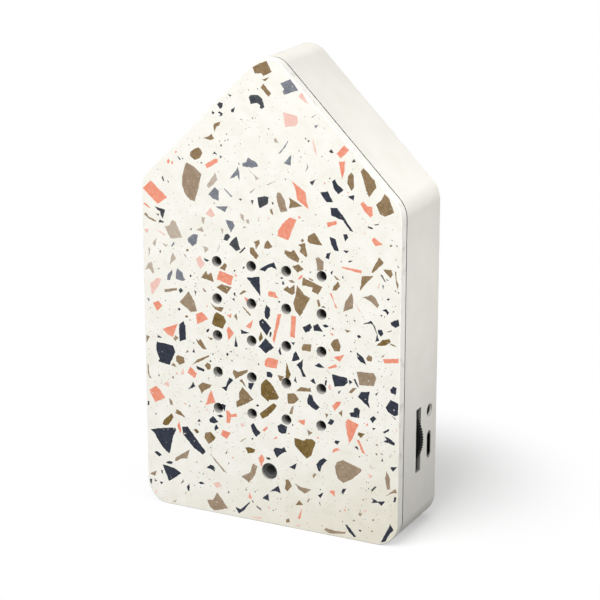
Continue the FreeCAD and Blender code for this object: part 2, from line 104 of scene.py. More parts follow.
# %% Helpers for colours and nodes
def linear(code):
    values = [int(code[i:i + 2], 16) / 255 for i in (1, 3, 5)]
    bent = [v / 12.92 if v <= 0.04045 else ((v + 0.055) / 1.055) ** 2.4 for v in values]
    return (*bent, 1.0)


def add(tree, kind, inputs=None, **settings):
    node = tree.nodes.new(kind)
    for name, value in settings.items():
        setattr(node, name, value)
    for key, value in (inputs or {}).items():
        if isinstance(value, bpy.types.NodeSocket):
            tree.links.new(value, node.inputs[key])
        else:
            node.inputs[key].default_value = value
    return node


def per_metre(size_mm):
    return 1000 / size_mm


def new_material(name, **inputs):
    """A material with one principled surface; plain numbers go straight on its sockets."""
    material = bpy.data.materials.new(name)
    material.use_nodes = True
    tree = material.node_tree
    tree.nodes.clear()
    surface = add(tree, "ShaderNodeBsdfPrincipled", {k.replace("_", " "): v for k, v in inputs.items()})
    add(tree, "ShaderNodeOutputMaterial", {"Surface": surface.outputs[0]})
    return material, tree, surface


def mottle(tree, surface, dark, light, size_mm, low=0.35, high=0.65, detail=4.0):
    """Two tones of the base colour in soft patches of a real size; gives the pattern for further use."""
    place = add(tree, "ShaderNodeTexCoord").outputs["Object"]
    noise = add(tree, "ShaderNodeTexNoise", {"Vector": place, "Scale": per_metre(size_mm), "Detail": detail})
    ramp = add(tree, "ShaderNodeValToRGB", {"Fac": noise.outputs[0]})
    ramp.color_ramp.elements[0].position, ramp.color_ramp.elements[1].position = low, high
    ramp.color_ramp.elements[0].color, ramp.color_ramp.elements[1].color = linear(dark), linear(light)
    tree.links.new(ramp.outputs[0], surface.inputs["Base Color"])
    return place


def shade_along(tree, surface, axis, start, end, first, last):
    """The base colour goes from one tone to another along an axis, between two places in metres."""
    place = add(tree, "ShaderNodeTexCoord").outputs["Object"]
    along = add(tree, "ShaderNodeSeparateXYZ", {0: place}).outputs[axis]
    share = add(tree, "ShaderNodeMapRange", {"Value": along, "From Min": start, "From Max": end})
    ramp = add(tree, "ShaderNodeValToRGB", {"Fac": share.outputs[0]})
    ramp.color_ramp.elements[0].color, ramp.color_ramp.elements[1].color = linear(first), linear(last)
    tree.links.new(ramp.outputs[0], surface.inputs["Base Color"])
    return place


def grain(tree, surface, place, size_mm, height_mm):
    """A fine bump of a real grain size and height."""
    noise = add(tree, "ShaderNodeTexNoise", {"Vector": place, "Scale": per_metre(size_mm), "Detail": 3.0})
    bump = add(tree, "ShaderNodeBump", {"Height": noise.outputs[0], "Distance": height_mm * mm,
                                        "Strength": 1.0})
    tree.links.new(bump.outputs[0], surface.inputs["Normal"])


print("white in linear light", linear("#ffffff"))

# %% [markdown]
# ## The case's plastic
# The case is ABS, moulded in a tool with a fine spark-eroded texture. Its inside gets a matt black as
# painted shade, because it lies in shade behind the walls. The walls of the slots get painted shade too,
# darker the deeper they lie. An image could show all that, but two tones, a grain and a run of grey are
# easier to change.

# %% Warm-white moulded ABS
# A warm off-white, neither glossy nor chalky. Its grains are really under a tenth of a millimetre and
# would not show, so they are drawn at about a third of a millimetre.
case_plastic, tree, surface = new_material("abs_moulded_warm_white", Roughness=0.65, IOR=1.53,
                                           Specular_IOR_Level=0.2)
place = mottle(tree, surface, "#ebe8e0", "#efece5", 9.0)
grain(tree, surface, place, 0.35, 0.012)

# A dull black as painted shade for the inside, which makes the openings look deep.
inner_shade_plastic, tree, surface = new_material("abs_black_inside_painted_shade", Roughness=0.8, IOR=1.5)
mottle(tree, surface, "#121212", "#1b1b1b", 4.0)

# Painted shade: grey close under the skin, nearly black further in, so the wall's thickness shows.
pale_depth, dark_depth = 0.2 * mm, 1.8 * mm
wall_shade_plastic, tree, surface = new_material("abs_wall_graded_painted_shade", Roughness=0.7, IOR=1.5)
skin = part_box("housing")[1].x
shade_along(tree, surface, "X", skin - dark_depth, skin - pale_depth, "#1c1b1a", "#b0ada7")
print("made", case_plastic.name, inner_shade_plastic.name, wall_shade_plastic.name)

# %% [markdown]
# ## The print's colours
# The panel is a board with a screen-printed terrazzo pattern under a satin varnish: a cream ground and
# chips in navy, taupe, olive, brown and coral. Each ink is one material. Stone is never one flat colour,
# so each ink has two near tones in patches of about a millimetre and a few small flecks, pale on the
# chips and sandy on the ground. The varnish makes all of them equally satin, with little gloss.

# %% Satin screen-print inks
fleck_edge, fleck_full = 0.69, 0.74


def ink(name, dark, light, size_mm=1.1, fleck="#e9e4d8", fleck_mm=1.0):
    """One ink: stone in two tones with flecks of a third, under satin varnish."""
    material, tree, surface = new_material(name, Roughness=0.5, IOR=1.48, Specular_IOR_Level=0.25)
    place = mottle(tree, surface, dark, light, size_mm, 0.3, 0.7, 6.0)
    stone = surface.inputs["Base Color"].links[0].from_socket
    spots = add(tree, "ShaderNodeTexNoise", {"Vector": place, "Scale": per_metre(fleck_mm), "Detail": 2.0})
    share = add(tree, "ShaderNodeMapRange", {"Value": spots.outputs[0], "From Min": fleck_edge,
                                             "From Max": fleck_full})
    mixed = add(tree, "ShaderNodeMix", {0: share.outputs[0], 6: stone, 7: linear(fleck)}, data_type="RGBA")
    tree.links.new(mixed.outputs[2], surface.inputs["Base Color"])
    grain(tree, surface, place, 0.6, 0.004)
    return material


inks = {
    "ground": ink("print_ink_cream", "#f4f2e7", "#fbf9f2", 6.0, "#dcd2c4", 0.7),
    "navy": ink("print_ink_navy", "#1f2430", "#333847"),
    "charcoal": ink("print_ink_charcoal", "#34373c", "#4c4f54"),
    "slate": ink("print_ink_slate", "#6c707b", "#8b8e96"),
    "stone": ink("print_ink_stone", "#b5a696", "#c9bbac"),
    "taupe": ink("print_ink_taupe", "#917d66", "#aa9580"),
    "brown": ink("print_ink_brown", "#7f6847", "#9a8263"),
    "olive": ink("print_ink_olive", "#664f24", "#846d3e"),
    "coral": ink("print_ink_coral", "#ea8a6e", "#f3a58c"),
    "rose": ink("print_ink_rose", "#efbfb2", "#f5cfc5"),
}
print("inks", sorted(inks))

# %% [markdown]
# Towards the lower right corner the ground is a little darker and yellower, as painted shade. A soft tone
# is laid over the cream, and its strength grows with the place along a slanted line.

# %% Painted shade at the lower right
slant, slant_start, slant_full = (0.4, 0, -1), -28 * mm, 12 * mm
tree = inks["ground"].node_tree
surface = tree.nodes["Principled BSDF"]
cream = surface.inputs["Base Color"].links[0].from_socket
place = add(tree, "ShaderNodeTexCoord").outputs["Object"]
slanted = add(tree, "ShaderNodeVectorMath", {0: place, 1: slant}, operation="DOT_PRODUCT")
share = add(tree, "ShaderNodeMapRange", {"Value": slanted.outputs["Value"], "From Min": slant_start,
                                         "From Max": slant_full})
# The painted shade: the cream is multiplied by a darker, yellower tone.
toned = add(tree, "ShaderNodeMix", {0: share.outputs[0], 6: cream, 7: linear("#efece4")}, data_type="RGBA",
            blend_type="MULTIPLY")
tree.links.new(toned.outputs[2], surface.inputs["Base Color"])
print("toned", inks["ground"].name)

# %% [markdown]
# ## The panel's bare edge
# The board's cut edge has no print. Sanding leaves it pale, with faint grey smudges a few millimetres
# long that catch the eye where the edge turns to the light.

# %% Sanded board edge
board_edge, tree, surface = new_material("board_edge_sanded", Roughness=0.55, IOR=1.5)
place = mottle(tree, surface, "#dfdbd3", "#f8f5ee", 3.5, 0.3, 0.46, 5.0)
grain(tree, surface, place, 0.5, 0.01)
print("made", board_edge.name)

# %% [markdown]
# The wall of a drilled hole is the same board, with painted light: grey at the mouth as painted shade,
# and pale further in to offset the shade deep inside the hole, so the tone follows the depth.

# %% Drilled board
mouth_shade_depth = 2.5 * mm
drilled_wall, tree, surface = new_material("board_drilled", Roughness=0.7, IOR=1.5)
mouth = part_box("front_panel")[0].y
# Painted light: grey painted shade at the mouth, paler deeper in to offset the shade inside the hole.
place = shade_along(tree, surface, "Y", mouth, mouth + mouth_shade_depth, "#aeaba5", "#f4f2ee")
grain(tree, surface, place, 0.5, 0.01)
print("made", drilled_wall.name)

# %% [markdown]
# ## Outline of the house
# The panel and the case share one outline: a house with a 45 degree roof and rounded corners. It is made
# from five sharp corners and five radii. Moving it inwards by a distance keeps the corners' centres, so
# the same function gives every loop of a rounded edge, all with the same number of points.

# %% House outline as a loop of points
half_width, eave_height = 51.5, 125.5
corner_radii = (9.0, 9.0, 10.0, 8.0, 10.0)
arc_steps = 14


def house_loop(inset):
    """Points (across, height) in mm, anticlockwise seen from the front, moved inwards by inset."""
    ridge_height = eave_height + half_width
    corners = [(-half_width, 0), (half_width, 0), (half_width, eave_height), (0, ridge_height),
               (-half_width, eave_height)]
    loop = []
    for i, corner in enumerate(corners):
        here = Vector(corner)
        back = (Vector(corners[i - 1]) - here).normalized()
        ahead = (Vector(corners[(i + 1) % 5]) - here).normalized()
        half_angle = back.angle(ahead) / 2
        middle = here + (back + ahead).normalized() * corner_radii[i] / math.sin(half_angle)
        start = math.atan2(*(here + back * corner_radii[i] / math.tan(half_angle) - middle).yx)
        sweep = math.pi - 2 * half_angle
        for k in range(arc_steps + 1):
            turn = start + sweep * k / arc_steps
            loop.append(middle + Vector((math.cos(turn), math.sin(turn))) * (corner_radii[i] - inset))
    return loop


print("points in the outline", len(house_loop(0)))

# %% [markdown]
# ## Chips of the print
# Terrazzo is broken stone in cement, so a chip has a few straight sides, sharp corners and edges that are
# a little ragged. The larger chips are drawn one by one: each line below is one chip, with its corners as
# distance across and height in millimetres, in groups by ink. Between the corners, a seeded random
# generator adds small steps to the edges, as where stone breaks, and it gives the same steps in each run.
# All outlines are turned anticlockwise, because the later division takes the left side of an outline as
# its inside.

# %% Larger chips
large_chips = {
    "coral": """
        -51.2,121.7 -47.8,125 -41,119.4 -45.1,116.5
        -25.3,133.3 -21.4,135.8 -20,135.8 -20.1,134.6 -24.5,132
        26.5,142.7 29.4,146 31.4,144.5 28.2,141.2
        27.5,140.1 29.8,140.4 29.6,136.8 28.8,133.7 28.2,136
        9.2,131.2 14.6,127.7 15,124.5 15.9,121.6 11.5,124.5 10.5,128.9
        35.7,125.8 36.7,127 38.4,125.4 40.3,125.4 40.5,122.5 39.6,121.5 37.5,123.3
        22.8,117.7 26.5,118.8 26.9,117.7 23.2,116
        3.5,110.5 3.8,112.4 5.8,115.5 8.4,117.9 11.1,117.3 9,112.4 7.9,109.4
        11.7,118.9 13,118.3 12,117.8
        -51.2,115.8 -50.3,116.4 -48,114.5 -49.5,115
        -19.9,94.7 -14.2,93.3 -15.3,89.7 -21.1,91.2
        -29.9,76.8 -27.4,78 -24.7,75.7 -29.5,73
        -47.9,78.7 -45.5,79.8 -43.9,78 -46.2,75.8
        -16.4,74.1 -14.3,71.8 -15,70.6 -16.6,68.8 -17.2,72.5
        -9.3,75.1 -6.2,78.3 -7.4,74.5
        -17.2,78.3 -15.1,79.1 -15.5,77.2
        -9.9,86.2 -8.3,85.5 -9.2,84.3
        -44.2,69 -39.9,71 -37.7,72 -39.7,66.6 -41.8,67.2
        -33.9,53.7 -32.6,56.2 -29.8,53.9 -30.8,52
        -26.4,42.2 -24.1,48.5 -22.1,43.9
        -17.8,41.6 -16.6,41.4 -15.8,40.3 -13.5,41 -13.3,39.7 -15.8,39.1 -16.2,36.8 -17.6,36.5
        -50.3,44.3 -47.4,46.4 -45.8,45.3 -43.5,42.2 -47.8,39.9
        -1.8,61.5 -1.4,63.7 -0.2,64.7 3.7,64.3 3.1,60.9 -1,60.9
        23.4,64.5 26.7,66.2 27.3,65.3 24,64
        25.8,68.7 30,70.3 28.3,67.3
        44.9,70.8 50.9,72 51,70.3 45.6,69.4
        25.2,50.3 27.1,52.2 28.8,52.4 28.3,51 26.3,48.3
        30.6,44.9 31.5,46.4 35.8,44.9 33.3,38.9 32.1,37.2 31.3,40.3
        35.2,38.9 36,39.1 38.6,33.9 37.2,34.6
        11.5,42.2 14.6,43.3 14.2,41
        40.2,113.5 41,114.7 44.4,112.5 41.7,111.6
        28.8,102.6 36.5,102.2 36.3,101 28.8,102
        -0.3,88.3 0,89.7 2.5,89.7 4,87.4 0,87.8
        11.5,95.5 12.5,97 13.7,97.6 12.9,96
        24,92.2 25,92.2 25.8,89.5 27.2,87.2 26.5,87 25.2,90.3
        1.5,72 2.7,77.2 3.5,81.6 5.1,81.8 4.2,77.8 2.9,73.3 2.1,70.1
        8.5,73.9 8.8,77.4 9,81.8 10.9,81.6 10.4,73.5
        -38.5,32 -37.6,34.1 -36.8,30.5 -37.4,29.1
        -20.1,31.6 -19.3,33.7 -15.8,33 -17.6,30.3 -19.1,31
        -4.7,25.1 -3,26.8 -2,24.9 -3.3,21.8
        -2.9,36.3 -0.9,38.2 -0.6,37.2 -2,35.8
        -8.7,8.7 -8.3,11 -7.4,8.3
        -8.3,1.1 -3.5,1.7 -3.6,1.2
        1.3,33.3 2.9,35 3.3,34.1
        25.5,32.2 25.8,33.7 27.5,34.6 30,32.8 28.3,33.9 26.5,33
        24.4,17 25,17.8 26.6,17.8 26.5,15.5
        11.5,4.3 12.5,6.6 13.4,8.5 12.5,4.1
        24.2,77.6 25.8,77.2 25.4,76.6
        -40.9,132.6 -40.2,134 -39.6,132.9 -40.3,131.9
        -39.2,132.8 -38.6,133.3 -38.3,132.2 -39,131.9
        38.7,45.6 39.4,46 39.5,45 38.8,45""",
    "rose": """
        11.9,161.4 13.2,162.9 15.9,158.9 12.8,160.6
        5.9,155.4 11.3,154.5 11.7,152.7 10.9,151 6.7,150.1
        -25.3,115.1 -23.3,117.8 -21.4,115.1 -22.8,114.1
        17.3,147.3 18.2,144.8 19.2,141 17.8,143.3
        -51,106.2 -48.9,106.8 -49.7,104.9
        -47,107.5 -42.2,105.5 -42.4,104.9
        -29.5,97.8 -27.8,99.3 -26.8,97.4 -25.8,96.4 -27.8,94.3 -28.9,96.2
        -48.8,86 -45.8,88.5 -44.1,88.3 -45.3,85.5 -48.3,81.6
        -36.8,52.4 -35.5,55.3 -35.3,52.6
        -44.3,47.4 -42.2,49.1 -41.6,47.8 -42,46.6 -43,47.3
        23.7,57.4 24.4,58.5 25,56.4 24.2,56
        42.5,96.8 43.5,98.7 43.1,96.4
        33.7,90.3 35,88.7 36.7,86.4 35.4,87.4
        -23.7,11.6 -21.2,12.8 -19.9,11.2 -22,10.1
        -48.9,2.8 -48,4.9 -47.8,3.7
        38.1,12 39.4,13.3 39.2,11.8
        39,27.2 41.7,26.2 40.4,24.9 39.8,26.6
        -12,37.2 -11,37.9 -10.2,36.7 -11.2,36.2
        -26.6,40.1 -25.4,41 -25.4,40.2
        10.6,1.2 12.1,2 12.7,1.1
        50,46 50.9,45.2 50.7,44.3""",
    "charcoal": """
        -20.1,155.6 -19.3,156.5 -17.8,156.3 -18,154.8 -18.9,154 -19.7,155
        -22.1,153.1 -21,152.5 -21.8,151.8 -22.3,152.3
        -19.9,152.7 -19.2,153.2 -17.8,152.6 -18.1,151.7 -19.3,151.3 -18.8,152.2
        -14.5,154.4 -12.9,155.4 -13.5,153.3 -14.5,153.3
        -15.8,159.8 -14.3,159.4 -14.9,158.7
        -7.5,159.3 -6.8,160.2 -3.9,160.5 -2.2,159.3 -1.3,156.4 -2.5,155.6 \
            -3.2,156 -3,156.9 -4.2,157.6 -6.8,156.9
        -22.4,137.3 -21.4,138.5 -20.1,137.3 -21.4,137.7
        -19.4,137.3 -18.3,136.9 -19,136.1
        -4.3,123.7 -1.4,124.5 0.2,124.3 -0.2,121.8 -3.5,119.8 -4.1,121.8
        -36.6,135.2 -36,135 -35.1,134.1 -35.7,133.8
        -34.9,135 -34,134.5 -34.3,134.1
        -43.2,126.6 -42.7,127.2 -42.2,125.8 -42.5,125
        -41,125.9 -40.3,125.6 -40.3,124.7
        32.3,140.2 33.2,141.6 33.9,140.6
        23.6,143.3 24.6,144.1 25.5,142.9 24.4,142.7
        16.2,131.6 18.6,132.8 17.3,130.4
        -46.4,115.5 -42,114.7 -43,111.2 -43.9,112.4 -44.1,113.9 -45.1,114.2
        -46,112.8 -44.5,112.9 -44.8,112.1
        -44.9,109.6 -44.3,110.8 -42.4,110.1 -43,109.7
        -18.2,106.4 -17.4,108.5 -16.2,108.9 -15.3,107.8 -16.6,106.1
        -15.8,104.9 -14.7,106.6 -12.8,108.3 -12,105.8 -11.3,103.7 -13,102.8 -14.3,103.9
        -11.8,102.6 -9.5,104.9 -9.2,104.3 -11.4,102.2
        -26.3,98.7 -24,98 -24.9,97.3 -25.9,97.6
        -37,85.1 -36,86 -35,84.9 -36.3,83.8
        -30.5,85.8 -29.5,85.5 -29.9,83.7
        38.6,118.5 40.6,118 40.4,117.4 38.7,117.9
        41.1,119.3 42.8,119.8 42.6,119.2 41.3,118.9
        14.2,147.2 15,147 14.7,146.4
        15.3,146.3 16.4,146.4 15.7,145.5
        1.4,122.8 2.1,122.4 2,121.7 1.5,121.9
        -12,122.3 -10.5,122.5 -10.9,121.6
        -7,122.3 -5.8,122.5 -6.4,120.6""",
    "slate": """
        -10.3,135.4 -8.7,136 -8,137.7 -4.7,136.3 -3.9,135 -6.2,134.1 -10.1,134.2
        -14.7,130.2 -12.8,132.5 -12,134.2 -11.4,131.3 -11.4,128.5 -12.2,130.8 -14.3,129.6 -15.3,129.2
        -24.1,122.5 -21.4,125.5 -19.8,124.2 -19.9,120.6 -22,121
        -21.1,118.3 -16.1,119 -17.4,116.7 -19.9,117.7
        -17.8,125.7 -14.3,122.9 -14.9,122.5 -17.5,125
        4.8,165.3 8.8,167.2 11.8,163.5 6.3,161.5 5.7,162.5 6.4,163.5
        4,140.2 5.7,142.3 8,145.6 6.9,143.1 5,140.8
        6.1,137.2 9.2,140.6 8.8,136.6
        14.4,134.8 15.7,136.8 15,138.3 15.2,136.6
        -32.8,105.1 -30.5,107 -28.5,106.9 -29.3,103.5 -30.7,102.4 -32.6,103.7
        -17.1,113.9 -14.3,113.8 -13.5,112.2 -15.1,109.4 -16.4,112
        -39.8,101.4 -38.5,103.3 -38.3,102.4 -39.4,101.1
        -38,89.1 -38,91.2 -37.4,93.3 -35.3,92 -34.9,90.3 -34,89.3 -35.3,88.7
        -41.8,88.3 -41.6,89.9 -39.5,92.6 -39.5,91 -40.5,88.3
        16.7,154.5 19,155.8 17.3,154.5
        17.8,151.8 19.6,152.3 18.6,150.8
        -50.4,80.3 -49.3,80.1 -49.6,78.7""",
    "taupe": """
        -32.8,133.3 -29.9,132.1 -26.8,129.6 -28,124.6 -29.7,119.2 -31.6,119.6 -33.7,121.7 \
            -34.8,125 -34.7,127.9 -33.9,130.8
        -36.6,80.5 -32.8,85.1 -30.3,81.4 -29.4,78 -32,77.2 -33.5,78.5
        34.8,64.7 41.5,65.1 42.5,63.5 41.5,60.3 36,59.8
        18.5,104.1 19.6,104.9 21.7,103.5 21.6,100.3 19.2,99.8 19,102.4
        29.4,86 30.4,90.3 32.7,93.5 33.3,90.8 33.3,88
        36.6,92.4 38.8,93 40.2,93.9 41.7,93 43.3,90.5 42.7,89.2 40.2,91.2 37.9,92.2
        -39.7,17.6 -39.5,19.1 -36.6,21.2 -33.3,23.5 -34.5,19.6 -36.6,19.3
        -11.6,16.6 -8,18.9 -6.8,22.6 -4.9,21.8 -6.2,17.8 -8.5,14.6
        -26.2,4.5 -23.7,5.1 -22,8.3 -19.9,6 -17.4,2.8 -21.2,1.4 -23.3,0.9 -25.1,2
        26.5,27.2 27.3,29.1 29.8,30.3 32.3,29.5 37.1,28 36.9,27.2 33.3,23.5 30,21.5 27.7,22.8 26.9,24.9
        46.3,26 46.9,29.1 48.3,26.2 48.3,22.4 47.1,22
        46.5,19.3 48.3,21 50.4,23 51.1,21.4 49.2,21
        10.2,18 12.9,16.8 17.1,16.6 14.4,14.5 12.1,15.5
        22.3,1.8 22.9,2.6 27.1,2.2 31,2.6 30.8,1.8 24.6,0.8
        3.2,124.8 3.6,126.4 5,126.2 6.5,123.9 7.5,120 5,119.3 4,121.4
        -51,10.8 -47.8,12.4 -48.5,10.1
        -24.9,23.5 -21.2,20.1 -17.6,16.6 -19.1,17.2 -22.8,20.8
        -39.6,66 -38.7,67.5 -37.3,66.6 -38.7,65.1
        -51,65.8 -49.5,65.3 -51,62.8
        -50.8,54.9 -50.3,54.1 -50.1,50.3 -49.1,49.1 -50.1,49.1 -50.8,51.2
        -41.8,42.4 -40.5,41.4 -40.1,39.9 -41.3,39.9
        -42.9,84.5 -37.6,85.8 -37.6,84.9 -42.8,83.3
        25.6,99.1 28.3,97.4 26.7,97.4
        15.8,96.8 17.8,96.2 17.5,95.7 16,96.2
        7.9,94.7 9.4,95.1 10.6,94.3 9,93.9
        35.9,10.5 36.5,11.4 37.5,10.8 36.7,9.7
        17.5,22 18.3,23.3 19.2,23 18.1,21
        15.2,11.4 16,13 16.6,12.8 15.8,11.3
        45.8,80.8 48.3,82.1 47.9,81.3
        15.4,39.7 17.5,38.7 16,37.2
        8.1,44.3 9,47 10,48 9.4,44.5
        -51,112 -50.1,112.8 -49.1,111.4 -45.8,110.3 -46.2,109.7 -48.7,110.4
        -27.1,87.3 -25.3,86 -26.2,85.7
        -34.6,61.2 -33.7,62.6 -33,61.8""",
    "stone": """
        -42.3,108.5 -40.3,109.1 -39.1,111.2 -37.8,110.8 -35,105.1 -39.9,104.2 -41,105.8
        -24.7,125.6 -23.3,127.9 -21.2,130.8 -20.3,128.3 -22,126.3 -23.9,124.8
        -27,113.9 -25.5,113.7 -26.2,111.2 -27,112.4
        -29.3,108.7 -27,110.1 -26.1,108.3
        -21.4,100.8 -20.1,103.3 -19.5,105.5 -20,102.8
        -27,103 -24.9,102.8 -24.3,102 -25.8,100.5 -26.2,102.4
        -47.6,101.4 -45.8,103.9 -46.4,100.3
        -43.5,102 -40.8,101.5 -42.2,100.8
        -40.5,94.1 -39.9,97.4 -39.1,99.1 -37.8,96.8 -39.3,95.5
        -51,90.8 -49.5,93.7 -48,94.2 -47.1,90.3 -47.8,89.9 -49.1,91.6
        -7.8,133.1 -3.5,130.6 -4.9,129.8 -5.8,131.7
        2.2,145.5 3.2,145.8 4,144.2 2.5,144.4
        -11.4,117 -9.9,116.6 -9.5,114.1 -11,115.3
        -7.6,125.2 -4.9,127.1 -6.8,124.8
        -1,128.5 2.3,130.2 3.4,130.8 0.3,128.7
        -49.3,99.7 -48.6,99.5 -48.8,97.4 -49.7,96 -49.2,97.8
        -41.4,0.9 -39.1,2.6 -40,1
        -10.5,111.4 -9.7,112.6 -8.7,112.1
        -9,115 -7.8,115.2 -7.6,113.7 -8.6,113.7
        -19.3,110.6 -18,110.3 -18.4,108.3
        -34.7,99.3 -33.6,98.6 -33.5,97.5 -34.3,98.5""",
    "brown": """
        -31.2,137.3 -29.9,138.3 -27.8,139.3 -26.8,138.5 -26.3,137.3 -27.4,135.4 -29.5,134.5 -31.4,135.8
        -25.8,142.9 -23.3,144 -22.5,144.8 -21.4,143.1 -23.3,142.4
        -21.4,148.5 -18.9,149.6 -19.3,148.1 -20.5,147.5 -21.2,145.6 -21.7,147.1
        -6,170 -2.9,171.8 -0.4,172.7 1.6,169.1 -1.6,167.3 -2.7,168.3 -5,167.9
        -2.3,166 0.7,167.2 -1,165.6
        -2.8,163.1 -1.8,164.7 1.3,161.4 0.3,160.2
        30.7,132.7 30.9,135 32.1,136.8 33.2,135.6 33.2,131.4 32.3,130.2
        35.7,137.5 36.7,138.8 41.1,134.8 41.7,132.3 39,128.6 38,130.6 36.9,134.3
        41.7,126.4 43.8,128.5 44.8,130.6 46.7,128.9 48.5,124.3 45,122.5 43.2,123.1
        8.2,125.2 13.4,122.5 8,121.1 8.6,123.5
        0.6,119.9 1.6,120.2 1.9,117.9 1,118.5
        -7.4,104.9 -6.2,105.1 -3.9,102.2 -4.9,100.8 -7.4,102.8
        -6,107.2 -3.7,108.3 -3.5,106.8 -5.1,104.5 -5.3,106.4
        -1.8,105.3 -1.4,107.2 -0.3,108.5 1.6,106.2 0,105.3
        -21.3,88.3 -19.1,89.7 -14.9,89.1 -17.1,86.2 -19.3,87.2
        -19.9,95.5 -17.8,97.8 -16.8,97.2 -17.6,94.9
        -27.5,91 -25.3,93.9 -24.7,92.4 -23.3,93.5 -22.3,90.1
        -23.9,82 -22,80.8 -18.3,81 -19.3,79.1 -21.8,79.7
        -14.1,78.3 -13,79.5 -12.8,76.7
        -10.5,82.6 -7.2,79.7 -7.8,79.3 -10.4,82
        -12,86.9 -10.1,88.7 -8.9,88.3 -11,86.8
        -34.6,75.3 -33.7,76 -33,75.3 -34,74.8
        -38.6,59.1 -37.8,59.9 -35.1,59.3 -35,57.2 -37.2,56.2 -38.5,57.4
        -40.8,55.5 -39.5,56.6 -38.5,55.1
        -30.3,67.6 -28.9,66.6 -28.3,67.6 -26.8,65.8 -25.5,63.9 -27.4,63.9 -29.3,65.8
        -31.8,57 -29.5,59.5 -24.7,61.8 -24.5,61.3 -28.7,58.7
        -26.5,57.6 -25.3,58.9 -24,58.3 -24.1,56.6 -25.3,56
        -29.3,49.3 -27.6,50.8 -23.7,50.5 -24.5,49.1 -26.6,48 -28,46.2
        -14.9,56.4 -14.5,57.8 -12.6,57.2 -8.5,58.7 -8.9,57.6 -13.7,54.3
        -12.2,54.1 -11,54.7 -9.1,51.4
        -12.4,49.1 -11,51.8 -6.4,47.6 -9.9,45.1 -13.3,43.3 -13.6,45.5 -12.2,46.6
        -39.3,37 -38.7,38.5 -36.8,37.8 -35,35.8 -37.4,36.4
        -25.1,68.9 -22.8,68.5 -23.7,67.6
        13.1,69.9 13.8,71.8 17,72.2 16.7,69.4 13.5,69.3
        3.4,58.5 6.2,58.3 4.6,56.2
        11,53.5 12.9,55.5 16,55.3 16.6,56 17,54.3 14.2,53.9
        7.3,52 10.2,52.6 12,50.7 10.2,48.7 7.7,48.3
        38.5,70.3 39.4,71.6 40.8,71.2 40.6,69.3 39,69.3
        27.8,48 29.4,49.5 29.2,46.7
        22.5,47 23.8,46.8 23.1,45.1
        31.7,56.4 33.3,58.3 35,58.5 32.9,56.2
        24.6,73.3 25.8,75.2 27.5,75.8 28.5,73.5 28.3,71.3 26,71
        15.4,110.1 15.6,112 18.1,113.5 21.3,109.3 16.5,109.3
        11.7,108.3 14.4,109.3 15.4,104.7 14.8,104.1 12.3,106 12.9,107.6
        6.3,104.5 6.5,105.8 8.8,105.3 10,106.3 12.3,103.3 11.7,101.7 7.3,103.5
        9.4,100.1 11.9,101.2 14,99.7 11.5,98
        40.2,102 41.7,105.3 43.1,107.8 44.8,106 40.8,101.8
        44.6,103.5 47.7,103.9 48.3,102.2 47.5,100.8
        49.1,103.5 49.6,103.3 49.8,100.3 50.6,98.7 50.2,97.2 49.6,99.1
        36.5,100.1 41,100.8 38.5,98 35.9,94.7 36.3,97.8
        25.2,93.3 25.6,94.9 27.3,97 28.3,95.3 26.7,93.5
        13.3,93.5 13.5,96.6 21.3,94.1 19.6,91 17.1,92 17.5,93.3 15,93.7
        5.8,91 7.5,92.6 8.3,91.8 10.3,93.5 10.4,90.3 9.4,89.5
        9.8,86.6 10.6,89.1 11.3,93.5 14,90.3 16.5,89.3 12.5,81.8 10.4,84.3
        30,79.7 32.5,79.5 31,78.5
        19.2,89.1 20,89.3 20.6,87 19.6,86.4
        44.2,71.4 45.8,73 45,71.6
        12.7,110.1 13.5,110.8 14.2,110.1 13.3,109.3
        -27,29.1 -26.7,31.2 -24.5,32 -22.3,30.1 -23.5,28.3 -25.3,27
        -12.4,30.1 -9.3,32.3 -11.4,30.3
        6.3,14.9 6.7,17.4 6.5,18.5 7.7,18.9 9.3,16.6 7.3,14.1
        10.6,9.3 12.1,11.6 13.8,9.9
        6.7,2.8 8.1,3.5 8.3,2 6.9,1.6""",
    "olive": """
        -23.3,74.1 -22.2,77.8 -21.2,78.8 -18.3,77.6 -17.4,75.8 -18.9,72.8 -22,73.3
        -3.7,70 -4.1,71.2 -3.2,74.1 -2.4,71.6
        -3.3,53.7 -2.6,54.9 -1.1,56.3 1.7,53.9 4,50.1 3.3,49.1 0,48.5 -0.3,47.6 -3.3,49.9
        -3.9,42.5 0,46 1.9,47.5 3.1,46.6 1.4,44.3 -0.4,42.2 -2.8,40.7
        -44.8,31.6 -44.1,33.5 -40.8,36.6 -40.1,35.1 -42.2,31.8 -43.7,31.3
        6.7,58 7,64 8.8,59.5 8.1,57.8
        35.3,41 35.8,42 38.3,41.8 36.7,39.9
        42.1,75.3 44.8,78 47.3,78.7 47.9,77.6 45.8,76
        47.1,77 48.6,76.9 50.8,76 48.5,76.3
        -31.7,31.6 -30.3,32.1 -29.2,31 -30.3,30.3
        -9.9,28.3 -8.5,28.7 -5.8,28.3 -6.2,27 -8.9,26.1
        -37.6,8.7 -36.4,11.2 -36.2,9.9
        10.2,35.5 14.2,35.1 15,36 17.3,36.2 18.8,35.1 17.1,29.9 15.2,28.3 12.1,31 10.4,32.8
        -24.5,32 -22.3,30.1 -23.5,28.3 -24.2,30""",
